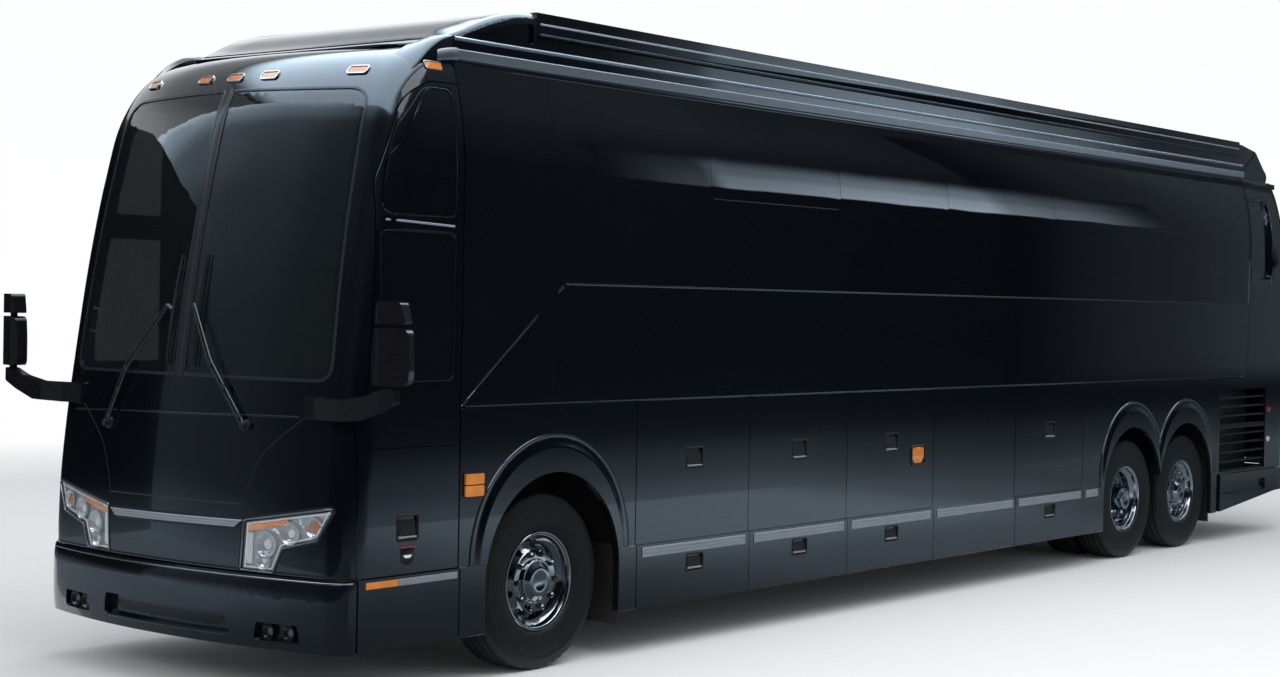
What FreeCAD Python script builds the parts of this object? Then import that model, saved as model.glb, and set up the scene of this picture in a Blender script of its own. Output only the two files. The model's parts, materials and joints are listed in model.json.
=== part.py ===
import FreeCAD, Part
import math
import os
from FreeCAD import Vector

# A three-axle coach bus: an integral body with a glazed upper band, luggage bays with
# top-hinged doors, a steered front axle, a driven axle on twin tyres and a trailing tag axle.
# Millimetres, +Z up, the nose towards -Y and the driver's side towards +X. The origin is on
# the ground under the middle of the coach.

# Overall sizes
LENGTH = 13720.0
BODY_WIDTH = 2570.0
HEIGHT = 3930.0
FRONT_OVERHANG = 1860.0
WHEELBASE = 8026.0
TAG_SPACING = 1200.0
GROUND_CLEARANCE = 285.0
PANEL_GAP = 6.0
SEAT_GAP = 0.3

# Heights of the body's main lines
CREASE_Z = 685.0
BELT_Z = 1594.0
GLASS_LOW_Z = 2316.0
TUMBLE_Z = 2900.0
TUMBLE_R = 2000.0
ROOF_EDGE_Z = 3560.0

# Wall thicknesses
WALL = 50.0
PANEL = 36.0
GLASS = 8.0
GLASS_REVEAL = 3.0
SKIRT_PROUD = 14.0
LATCH_DEPTH = 14.0

# Stations along the length, measured from the front axle
CAB_JOINT = -780.0
CORNER_JOINT = -1570.0
BAY_START = 835.0
BAY_DOOR_PITCH = 1220.0
FIXED_PANEL_WIDTH = 1310.0
REAR_FENDER_END = 9890.0
REAR_CAP_START = 10620.0

# Wheels and tyres
TYRE_R = 530.0
TYRE_WIDTH = 306.0
RIM_R = 286.0
TYRE_FACE_X = 1240.0
TWIN_SPACING = 348.0
TYRE_FLATS = 60

# Frame rails and bumpers
RAIL_INNER_X = 380.0
RAIL_WIDTH = 80.0
TOW_PIN_R = 22.0
TOW_PIN_FRONT_Y = -6650.0
TOW_PIN_REAR_Y = 6740.0
JACK_PAD_Y = -5900.0
BUMPER_WALL = 60.0

# Steering
KINGPIN_X = 1000.0
KINGPIN_R = 22.0
RUN_CLEARANCE = 0.4

# Wheel openings in the side
ARCH_R = 610.0
ARCH_Z = 579.0
REAR_ARCH_R = 590.0
REAR_ARCH_Z = 590.0
WELL_INNER_X = 500.0

# Values worked out from the sizes above
HALF_L = LENGTH / 2.0
SIDE_X = BODY_WIDTH / 2.0
AXLE_Y = -HALF_L + FRONT_OVERHANG
DRIVE_Y = AXLE_Y + WHEELBASE
TAG_Y = DRIVE_Y + TAG_SPACING
SKIRT_Z = GROUND_CLEARANCE
WHEEL_X = TYRE_FACE_X - TYRE_WIDTH / 2.0
FIXED_PANEL_START = BAY_START + 3 * BAY_DOOR_PITCH
BAY4_START = FIXED_PANEL_START + FIXED_PANEL_WIDTH
BAY_END = BAY4_START + BAY_DOOR_PITCH
CAB_Y = AXLE_Y + CAB_JOINT
CORNER_Y = AXLE_Y + CORNER_JOINT
REAR_CAP_Y = AXLE_Y + REAR_CAP_START
FENDER_END_Y = AXLE_Y + REAR_FENDER_END
FAR = 20000.0


# General shapes

def box(x0, x1, y0, y1, z0, z1):
    return Part.makeBox(x1 - x0, y1 - y0, z1 - z0, Vector(x0, y0, z0))


def mirrored(shape):
    return shape.mirror(Vector(0, 0, 0), Vector(1, 0, 0))


def both(shape):
    return [shape, mirrored(shape)]


def tube(start, end, radius, bore=0.0):
    a = Vector(*start)
    b = Vector(*end)
    run = b - a
    body = Part.makeCylinder(radius, run.Length, a, run)
    if bore > 0:
        body = body.cut(Part.makeCylinder(bore, run.Length, a, run))
    return body


def rounded_wire(points, radii, place):
    """A closed outline of straight runs whose corners are rounded by tangent arcs."""
    count = len(points)
    edges = []
    ends = []
    for i in range(count):
        here = Vector(points[i][0], points[i][1], 0)
        before = Vector(points[i - 1][0], points[i - 1][1], 0) - here
        after = Vector(points[(i + 1) % count][0], points[(i + 1) % count][1], 0) - here
        radius = radii[i] if isinstance(radii, (list, tuple)) else radii
        half = before.getAngle(after) / 2.0
        if radius <= 0 or abs(half - math.pi / 2) < 1e-6:
            ends.append((here, here, None))
            continue
        reach = radius / math.tan(half)
        start = here + before.normalize() * reach
        stop = here + after.normalize() * reach
        bisector = (before + after).normalize()
        middle = here + bisector * (radius / math.sin(half) - radius)
        ends.append((start, stop, middle))
    for i in range(count):
        start, stop, middle = ends[i]
        if middle is not None:
            edges.append(Part.Arc(place(start), place(middle), place(stop)).toShape())
        following = ends[(i + 1) % count][0]
        if (following - stop).Length > 1e-4:
            edges.append(Part.LineSegment(place(stop), place(following)).toShape())
    return Part.Wire(edges)


def prism_x(points, x0, x1, radii=0):
    """Points are (y, z)."""
    wire = rounded_wire(points, radii, lambda p: Vector(x0, p.x, p.y))
    return Part.Face(wire).extrude(Vector(x1 - x0, 0, 0))


def prism_y(points, y0, y1, radii=0):
    """Points are (x, z)."""
    wire = rounded_wire(points, radii, lambda p: Vector(p.x, y0, p.y))
    return Part.Face(wire).extrude(Vector(0, y1 - y0, 0))


def prism_z(points, z0, z1, radii=0):
    """Points are (x, y)."""
    wire = rounded_wire(points, radii, lambda p: Vector(p.x, p.y, z0))
    return Part.Face(wire).extrude(Vector(0, 0, z1 - z0))


def fuse_all(shapes):
    whole = shapes[0]
    if len(shapes) > 1:
        whole = whole.fuse(shapes[1:])
    return whole.removeSplitter()


def inset(points, by):
    """Moves a convex outline's edges inwards by a distance."""
    count = len(points)
    area = 0.0
    for i in range(count):
        x0, y0 = points[i - 1]
        x1, y1 = points[i]
        area += x0 * y1 - x1 * y0
    turn = 1.0 if area > 0 else -1.0
    lines = []
    for i in range(count):
        x0, y0 = points[i]
        x1, y1 = points[(i + 1) % count]
        run = math.hypot(x1 - x0, y1 - y0)
        nx = -(y1 - y0) / run * turn
        ny = (x1 - x0) / run * turn
        lines.append((nx, ny, nx * x0 + ny * y0 + by))
    result = []
    for i in range(count):
        a0, b0, c0 = lines[i - 1]
        a1, b1, c1 = lines[i]
        det = a0 * b1 - a1 * b0
        result.append(((c0 * b1 - c1 * b0) / det, (a0 * c1 - a1 * c0) / det))
    return result


NODES = {}


def keep(name, shapes):
    if not isinstance(shapes, (list, tuple)):
        shapes = [shapes]
    solids = []
    for shape in shapes:
        solids.extend(shape.Solids)
    NODES[name] = solids


# The side's cross-section: upright to the tumble line, then leaning in on a wide arc

def side_x(z, depth=0.0):
    rise = max(0.0, z - TUMBLE_Z)
    radius = TUMBLE_R - depth
    return SIDE_X - TUMBLE_R + math.sqrt(radius * radius - rise * rise)


def side_curve(depth, z0, z1, y):
    """Edges from z0 up to z1 along the section, at a depth below the outer face."""
    edges = []
    if z0 < TUMBLE_Z:
        foot = Vector(SIDE_X - depth, y, z0)
        knee = Vector(SIDE_X - depth, y, min(TUMBLE_Z, z1))
        edges.append(Part.LineSegment(foot, knee).toShape())
    if z1 > TUMBLE_Z:
        base = max(TUMBLE_Z, z0)
        mid = (base + z1) / 2.0
        points = [Vector(side_x(z, depth), y, z) for z in (base, mid, z1)]
        edges.append(Part.Arc(*points).toShape())
    return edges


def side_strip(depth0, depth1, z0, z1, y0, y1):
    """A slab that follows the left side's section between two depths."""
    outer = side_curve(depth0, z0, z1, y0)
    inner = side_curve(depth1, z0, z1, y0)
    low = Part.LineSegment(inner[0].Vertexes[0].Point, outer[0].Vertexes[0].Point).toShape()
    high = Part.LineSegment(outer[-1].Vertexes[-1].Point, inner[-1].Vertexes[-1].Point).toShape()
    wire = Part.Wire(Part.__sortEdges__(outer + inner + [low, high]))
    return Part.Face(wire).extrude(Vector(0, y1 - y0, 0))


# The nose: plan sections at rising heights, joined by one smooth loft. The face leans back on
# a parabola up to the brow, which turns over to the roof on a Bezier curve. Each section is
# height, nose, corner start across, corner start along, corner end along and half width,
# with the places along the coach measured from the front axle.

NOSE_Y = -1800.0
BOW_Z = 760.0
NOSE_BOW = 5.3e-5
CORNER_X = 1150.0
CORNER_BOW = 1.1e-5
CORNER_RUN = 198.0
BROW_Z = 3200.0
BROW_TOP_Z = 3642.0
BROW_TOP_Y = -1010.0
FACE_LEVELS = (SKIRT_Z, 520.0, BOW_Z, 1060.0, 1360.0, 1660.0, 1960.0, 2260.0, 2560.0, 2860.0, 3040.0)
BROW_STEPS = (0.0, 0.12, 0.25, 0.38, 0.5, 0.62, 0.74, 0.87, 1.0)


def bezier(a, b, c, d, t):
    u = 1.0 - t
    return u * u * u * a + 3.0 * t * u * u * b + 3.0 * t * t * u * c + t * t * t * d


def face_sag(z):
    """How far the corner's start lies behind the nose, more behind the glass than below it."""
    t = min(1.0, max(0.0, (z - BOW_Z) / 1340.0))
    return 110.0 + 38.0 * t * t * (3.0 - 2.0 * t)


def nose_sections():
    rows = []
    for z in FACE_LEVELS:
        bow = max(0.0, z - BOW_Z) ** 2
        corner_y = NOSE_Y + NOSE_BOW * bow + face_sag(z)
        rows.append((z, NOSE_Y + NOSE_BOW * bow, CORNER_X - CORNER_BOW * bow, corner_y,
                     corner_y + CORNER_RUN, side_x(z)))
    bow = (BROW_Z - BOW_Z) ** 2
    foot_y = NOSE_Y + NOSE_BOW * bow
    lean = 2.0 * NOSE_BOW * (BROW_Z - BOW_Z)
    for t in BROW_STEPS:
        z = bezier(BROW_Z, BROW_Z + 270.0, BROW_TOP_Z, BROW_TOP_Z, t)
        nose = bezier(foot_y, foot_y + 270.0 * lean, BROW_TOP_Y - 250.0, BROW_TOP_Y, t)
        corner_y = nose + face_sag(z) + 60.0 * t * (1.0 - t) - 38.0 * t ** 4
        corner_x = CORNER_X - CORNER_BOW * (z - BOW_Z) ** 2 - 180.0 * t ** 2.2
        rows.append((z, nose, corner_x, corner_y, corner_y + CORNER_RUN - 108.0 * t ** 3.2,
                     side_x(z) - 110.0 * t ** 4))
    return rows


NOSE_SECTIONS = nose_sections()
NOSE_OVERRUN = 40.0


def nose_section(row, depth, back):
    z, nose, corner_x, corner_y, side_y, half = row
    half -= depth
    corner_x -= depth * 0.6
    nose += depth
    corner_y += depth
    sag = corner_y - nose
    radius = (corner_x * corner_x + sag * sag) / (2.0 * sag)
    slope = math.tan(math.asin(corner_x / radius))
    y0 = AXLE_Y
    left = Vector(corner_x, y0 + corner_y, z)
    right = Vector(-corner_x, y0 + corner_y, z)
    tip = Vector(0, y0 + nose, z)
    bend = y0 + corner_y + (half - corner_x) * slope
    side_l = Vector(half, y0 + side_y, z)
    side_r = Vector(-half, y0 + side_y, z)
    bezier_l = Part.BezierCurve()
    bezier_l.setPoles([left, Vector(half, bend, z), side_l])
    bezier_r = Part.BezierCurve()
    bezier_r.setPoles([side_r, Vector(-half, bend, z), right])
    back_l = Vector(half, back, z)
    back_r = Vector(-half, back, z)
    edges = [
        Part.Arc(right, tip, left).toShape(),
        bezier_l.toShape(),
        Part.LineSegment(side_l, back_l).toShape(),
        Part.LineSegment(back_l, back_r).toShape(),
        Part.LineSegment(back_r, side_r).toShape(),
        bezier_r.toShape(),
    ]
    return Part.Wire(edges)


def nose_loft(depth, back):
    wires = []
    for row in NOSE_SECTIONS:
        rise = max(0.0, (row[0] - BROW_Z) / (BROW_TOP_Z - BROW_Z))
        wires.append(nose_section((row[0] - depth * rise * rise,) + row[1:], depth, back))
    return Part.makeLoft(wires, True, False)


def nose_row(z):
    """The section's measures at any height, between the listed rows."""
    for low, high in zip(NOSE_SECTIONS, NOSE_SECTIONS[1:]):
        if low[0] <= z <= high[0]:
            t = (z - low[0]) / (high[0] - low[0])
            return [a + (b - a) * t for a, b in zip(low, high)]
    return list(NOSE_SECTIONS[-1])


def nose_y(x, z):
    """Where the nose's face lies at a place across and up."""
    _, nose, corner_x, corner_y, side_y, half = nose_row(z)
    sag = corner_y - nose
    radius = (corner_x * corner_x + sag * sag) / (2.0 * sag)
    x = abs(x)
    if x <= corner_x:
        return AXLE_Y + nose + radius - math.sqrt(radius * radius - x * x)
    bend = corner_y + (half - corner_x) * math.tan(math.asin(corner_x / radius))
    u = math.sqrt(max(0.0, half - x) / (half - corner_x))
    t = 1.0 - u
    return AXLE_Y + u * u * corner_y + 2.0 * t * u * bend + t * t * side_y


def hinge_rod(start, end, strip):
    """A hinge's rod in the gap beside a door, with the strip that joins it to the door."""
    return tube(start, end, PANEL_GAP / 2.0 - SEAT_GAP).fuse(strip)


def latch_pocket(y, half, z0, z1, face):
    """The room for a door's sunk latch."""
    outline = [(y - half, z0), (y + half, z0), (y + half, z1), (y - half, z1)]
    return prism_x(outline, face - LATCH_DEPTH, face + 20.0, 10.0)


CAB_DOOR_OUTLINE = (
    (CORNER_JOINT, SKIRT_Z + 3.0), (CAB_JOINT, SKIRT_Z + 3.0), (CAB_JOINT, 3430.0),
    (-1010.0, 3430.0), (-1230.0, 3330.0), (-1395.0, 2850.0), (-1500.0, 1750.0),
    (CORNER_JOINT, 1560.0),
)
DRIVER_LOW_WINDOW = ((-1432.0, 1755.0), (-850.0, 1755.0), (-850.0, 2575.0), (-1400.0, 2575.0))
DRIVER_HIGH_WINDOW = (
    (-1385.0, 2672.0), (-850.0, 2672.0), (-850.0, 3385.0), (-1040.0, 3385.0), (-1340.0, 2960.0),
)
WINDSHIELD = ((38.0, 1756.0), (1105.0, 1752.0), (1035.0, 3375.0), (38.0, 3388.0))
WINDSHIELD_RADII = (20.0, 90.0, 150.0, 20.0)


def at_axle(points):
    """Turns stations from the front axle into places along the coach."""
    return [(AXLE_Y + y, z) for y, z in points]


def at_axle_plan(points):
    return [(x, AXLE_Y + y) for x, y in points]


def build_front():
    outer = nose_loft(0.0, CAB_Y)
    inner = nose_loft(WALL, CAB_Y + NOSE_OVERRUN)
    below_glass = nose_loft(GLASS_REVEAL + GLASS + SEAT_GAP, CAB_Y + NOSE_OVERRUN)
    glass_back = nose_loft(GLASS_REVEAL + GLASS, CAB_Y + NOSE_OVERRUN)
    glass_front = nose_loft(GLASS_REVEAL, CAB_Y + NOSE_OVERRUN)
    shell = outer.cut(inner)
    glass_layer = glass_front.cut(glass_back)
    rebate_layer = outer.cut(below_glass)

    # Windshield
    wind_cut = prism_y(inset(WINDSHIELD, 45.0), -FAR, AXLE_Y, 40.0)
    wind_rebate = prism_y(WINDSHIELD, -FAR, AXLE_Y, WINDSHIELD_RADII)
    wind_pane = prism_y(inset(WINDSHIELD, PANEL_GAP / 2), -FAR, AXLE_Y, WINDSHIELD_RADII)
    tools = both(wind_cut)
    for side in both(wind_rebate):
        tools.append(rebate_layer.common(side))
    windshield = [glass_layer.common(side) for side in both(wind_pane)]

    # Headlamp pockets
    lamp_outline = ((582.0, 700.0), (805.0, 700.0), (868.0, 838.0), (1100.0, 898.0),
                    (1195.0, 1065.0), (600.0, 968.0))
    lamp_layer = outer.cut(nose_loft(WALL - 8.0, CAB_Y + NOSE_OVERRUN))
    lamp_prism = prism_y(lamp_outline, -FAR, AXLE_Y - 1400.0, 12.0)
    for side in both(lamp_prism):
        tools.append(lamp_layer.common(side))
    lamp_body = nose_loft(2.0, CAB_Y).cut(nose_loft(WALL - 8.0 - SEAT_GAP, CAB_Y + NOSE_OVERRUN))
    lamps = [lamp_body.common(side) for side in
             both(prism_y(inset(lamp_outline, 2.0), -FAR, AXLE_Y - 1400.0, 12.0))]
    shell = shell.cut(tools)

    # The cab's sides, one fixed and one the entrance door
    door_zone = prism_x(at_axle(CAB_DOOR_OUTLINE), 600.0, 2000.0, (0, 0, 0, 200.0, 300.0, 400.0, 0, 0))
    door_body = prism_x(at_axle(inset(CAB_DOOR_OUTLINE, PANEL_GAP)), 600.0, 2000.0,
                        (0, 0, 0, 200.0, 300.0, 400.0, 0, 0))
    cap_cut = [door_zone, mirrored(door_zone)]
    band = box(-FAR, FAR, -FAR, CAB_Y + 1.0, SKIRT_Z, CREASE_Z + PANEL_GAP)
    front_cap = shell.cut(cap_cut + [band])
    skirt = nose_loft(-SKIRT_PROUD, CAB_Y).cut(inner)
    skirt = skirt.common(box(-FAR, FAR, -FAR, CAB_Y, SKIRT_Z, CREASE_Z))
    side_panel = shell.common(door_body).fuse(skirt.common(door_body))
    entrance_door = shell.common(mirrored(door_body)).fuse(skirt.common(mirrored(door_body)))

    low = at_axle(DRIVER_LOW_WINDOW)
    high = at_axle(DRIVER_HIGH_WINDOW)
    low_radii = 45.0
    high_radii = (45.0, 45.0, 45.0, 120.0, 280.0)
    window_tools = []
    panes = []
    for outline, radii in ((low, low_radii), (high, high_radii)):
        window_tools.append(prism_x(inset(outline, 28.0), 600.0, 2000.0, 25.0))
        window_tools.append(rebate_layer.common(prism_x(outline, 600.0, 2000.0, radii)))
        panes.append(glass_layer.common(prism_x(inset(outline, PANEL_GAP / 2), 600.0, 2000.0, radii)))
    side_panel = side_panel.cut(window_tools)
    entrance_door = entrance_door.cut([mirrored(tool) for tool in window_tools])

    # The service door under the driver's window
    door_low = CREASE_Z + 5.0
    door_high = 1382.0
    service_zone = box(600.0, 2000.0, CORNER_Y - 10.0, CAB_Y + 10.0,
                       door_low - PANEL_GAP, door_high + PANEL_GAP)
    service_body = box(600.0, 2000.0, CORNER_Y, CAB_Y, door_low, door_high)
    service_door = side_panel.common(service_body)
    side_panel = side_panel.cut(service_zone)
    service_door = service_door.cut(latch_pocket(AXLE_Y - 1190.0, 80.0, 875.0, 1010.0, SIDE_X))

    # Hinge rods in the gap ahead of each door
    rod_y = CORNER_Y + PANEL_GAP / 2.0
    for rod_x, low_z, high_z, door in ((SIDE_X - 10.0, 705.0, 1000.0, "service"),
                                       (SIDE_X + 2.0, 320.0, 640.0, "entrance")):
        strip = box(rod_x - 20.0, rod_x, rod_y, rod_y + PANEL_GAP, low_z, high_z)
        rod = hinge_rod((rod_x, rod_y, low_z), (rod_x, rod_y, high_z), strip)
        if door == "service":
            service_door = service_door.fuse(rod).removeSplitter()
        else:
            entrance_door = entrance_door.fuse(mirrored(rod)).removeSplitter()

    # A bright bar across the front, the roof markers and the lamps ahead of the wheel arches
    proud = nose_loft(-8.0, CAB_Y)
    skin = nose_loft(-SEAT_GAP, CAB_Y)
    proud_layer = proud.cut(skin)
    bar = proud_layer.common(box(-572.0, 572.0, -FAR, AXLE_Y - 1000.0, 930.0, 962.0))
    keep("front_trim", bar)
    markers = []
    blocks = [box(x - 58.0, x + 58.0, -FAR, AXLE_Y - 1100.0, z - 18.0, z + 18.0)
              for x, z in ((0.0, 3468.0), (280.0, 3470.0), (885.0, 3480.0))]
    blocks.append(box(1100.0, 1300.0, AXLE_Y - 1010.0, AXLE_Y - 890.0, 3500.0, 3536.0))
    for number, block in enumerate(blocks):
        lamp = proud_layer.common(block)
        markers += both(lamp) if number else [lamp]
    for low_z, high_z in ((1086.0, 1148.0), (1154.0, 1216.0)):
        lamp = prism_x(at_axle([(-745.0, low_z), (-592.0, low_z), (-592.0, high_z), (-745.0, high_z)]),
                       SIDE_X + SEAT_GAP, SIDE_X + 18.0, 8.0)
        markers += both(lamp)
    keep("marker_lamps", markers)

    keep("front_cap", front_cap)
    keep("windshield", windshield)
    keep("headlamps", lamps)
    keep("cab_side_panel", side_panel)
    keep("entrance_door", entrance_door)
    keep("entrance_door_glass", [mirrored(pane) for pane in panes])
    keep("service_door", service_door)
    return panes


# The upper side walls with their glass

PANE_STATIONS = (-776.0, 16.0, 1573.0, 3126.0, 4655.0, 6427.0, 8200.0, 9650.0, 10612.0)
GLASS_TOP_Z = 3540.0


def pane_outline(y0, y1):
    """The first panes have their lower corner cut by the rising diagonal."""
    rise = (GLASS_LOW_Z - BELT_Z - 8.0) / (117.0 - CAB_JOINT)
    foot = BELT_Z + 8.0

    def diagonal(y):
        return foot + (y - CAB_JOINT) * rise
    if y1 <= 117.0:
        return [(y0, diagonal(y0)), (y1, diagonal(y1)), (y1, GLASS_TOP_Z), (y0, GLASS_TOP_Z)]
    if y0 < 117.0:
        return [(y0, diagonal(y0)), (117.0, GLASS_LOW_Z), (y1, GLASS_LOW_Z),
                (y1, GLASS_TOP_Z), (y0, GLASS_TOP_Z)]
    return [(y0, GLASS_LOW_Z), (y1, GLASS_LOW_Z), (y1, GLASS_TOP_Z), (y0, GLASS_TOP_Z)]


def build_sides(cab_panes):
    y0 = CAB_Y + PANEL_GAP
    y1 = REAR_CAP_Y - PANEL_GAP
    wall = side_strip(0.0, WALL, BELT_Z + PANEL_GAP / 2, ROOF_EDGE_Z - SEAT_GAP, y0, y1)
    layer = side_strip(-2.0, GLASS_REVEAL + GLASS + SEAT_GAP, BELT_Z, ROOF_EDGE_Z, y0 - 5, y1 + 5)
    glass = side_strip(GLASS_REVEAL, GLASS_REVEAL + GLASS, BELT_Z, ROOF_EDGE_Z, y0, y1)
    tools = []
    panes = []
    last = len(PANE_STATIONS) - 2
    for i in range(len(PANE_STATIONS) - 1):
        outline = pane_outline(PANE_STATIONS[i], PANE_STATIONS[i + 1])
        tools.append(layer.common(prism_x(at_axle(outline), 900.0, 1400.0)))
        panes.append(glass.common(prism_x(at_axle(inset(outline, 2.0)), 900.0, 1400.0)))
        if i < last:
            hole = inset(outline, 70.0)
            tools.append(prism_x(at_axle(hole), 900.0, 1400.0, 40.0))
    wall = wall.cut(tools)
    keep("side_walls", both(wall))
    keep("side_glass", [m for p in panes for m in both(p)] + cab_panes)


# Lower side panels, wheel arches and luggage doors

def arch_tool(radius, y, z, low, x0=900.0, x1=1400.0):
    upper = tube((x0, y, z), (x1, y, z), radius)
    upper = upper.common(box(x0, x1, y - radius, y + radius, z, z + radius))
    lower = box(x0, x1, y - radius, y + radius, low, z)
    return upper.fuse(lower)


FRONT_FLARE_R = 730.0
FRONT_FLARE_Z = 690.0
REAR_FLARE_R = 655.0
REAR_FLARE_Z = 755.0
# Steps in from a flare's rim with how far it stands out: a thin ridge, a scoop and the lip
FLARE_SCOOP = ((3.0, 6.5), (14.0, 3.6), (32.0, 2.6), (52.0, 5.4), (72.0, 11.0), (88.0, SKIRT_PROUD))


def flare_ring(radius, y, z):
    """A wheel arch's flare, turned about its centre and kept above the crease."""
    def at(step, proud):
        return Vector(SIDE_X + proud, y, z + radius - step)
    scoop = Part.BSplineCurve()
    scoop.interpolate([at(step, proud) for step, proud in FLARE_SCOOP])
    inner = radius - 60.0
    corners = [at(FLARE_SCOOP[-1][0], SKIRT_PROUD), at(inner, SKIRT_PROUD), at(inner, SEAT_GAP),
               at(0.0, SEAT_GAP), at(*FLARE_SCOOP[0])]
    edges = [Part.LineSegment(a, b).toShape() for a, b in zip(corners, corners[1:])]
    face = Part.Face(Part.Wire([scoop.toShape()] + edges))
    ring = face.revolve(Vector(0, y, z), Vector(1, 0, 0), 360)
    if ring.Volume < 0:
        ring.reverse()
    reach = radius + 1.0
    return ring.common(box(SIDE_X, SIDE_X + 60.0, y - reach, y + reach, CREASE_Z + SEAT_GAP, z + reach))


def lower_panel(y0, y1):
    """A flat panel between two stations along the coach, standing out below the crease."""
    panel = box(SIDE_X - PANEL, SIDE_X, y0, y1, SKIRT_Z, BELT_Z - PANEL_GAP / 2)
    skirt = box(SIDE_X - PANEL, SIDE_X + SKIRT_PROUD, y0, y1, SKIRT_Z, CREASE_Z)
    return panel.fuse(skirt).removeSplitter()


def build_lower_sides():
    front_y = AXLE_Y + 50.0
    drive_y = DRIVE_Y - 6.0
    tag_y = TAG_Y - 56.0
    half = PANEL_GAP / 2
    front_arch = arch_tool(ARCH_R, front_y, ARCH_Z, 0.0)
    rear_arches = [arch_tool(REAR_ARCH_R, y, REAR_ARCH_Z, 0.0) for y in (drive_y, tag_y)]

    fender = lower_panel(CAB_Y + half, AXLE_Y + BAY_START - half).cut(front_arch)
    fixed = lower_panel(AXLE_Y + FIXED_PANEL_START + half, AXLE_Y + BAY4_START - half)
    rear = lower_panel(AXLE_Y + BAY_END + half, FENDER_END_Y - half).cut(rear_arches)
    keep("lower_side_panels", [m for piece in (fender, fixed, rear) for s in piece.Solids for m in both(s)])

    front = flare_ring(FRONT_FLARE_R, AXLE_Y + 40.0, FRONT_FLARE_Z).cut(front_arch)
    pair = flare_ring(REAR_FLARE_R, drive_y, REAR_FLARE_Z).fuse(flare_ring(REAR_FLARE_R, tag_y, REAR_FLARE_Z))
    pair = pair.cut(rear_arches)
    keep("wheel_arch_flares", [m for f in (front, pair) for s in f.Solids for m in both(s)])

    starts = [BAY_START + i * BAY_DOOR_PITCH for i in range(3)] + [BAY4_START]
    for number, start in enumerate(starts, 1):
        y0 = AXLE_Y + start + half
        y1 = y0 + BAY_DOOR_PITCH - PANEL_GAP
        mid = (y0 + y1) / 2.0
        door = lower_panel(y0, y1)
        door = door.cut([latch_pocket(mid, 88.0, 480.0, 585.0, SIDE_X + SKIRT_PROUD),
                         latch_pocket(mid, 88.0, 1143.0, 1275.0, SIDE_X)])
        strip = box(SIDE_X - 3.0, SIDE_X, y0 + 30.0, y1 - 30.0, BELT_Z - half - 1.0, BELT_Z)
        door = door.fuse(hinge_rod((SIDE_X, y0 + 30.0, BELT_Z), (SIDE_X, y1 - 30.0, BELT_Z), strip))
        door = door.removeSplitter()
        keep("bay_door_left_%d" % number, door)
        keep("bay_door_right_%d" % number, mirrored(door))


# Floors, bulkheads and wheel wells

CAB_FLOOR_Z = 1260.0
STEP_INNER_X = 475.0
DECK_Z = 1590.0
PLATE = 30.0


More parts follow.
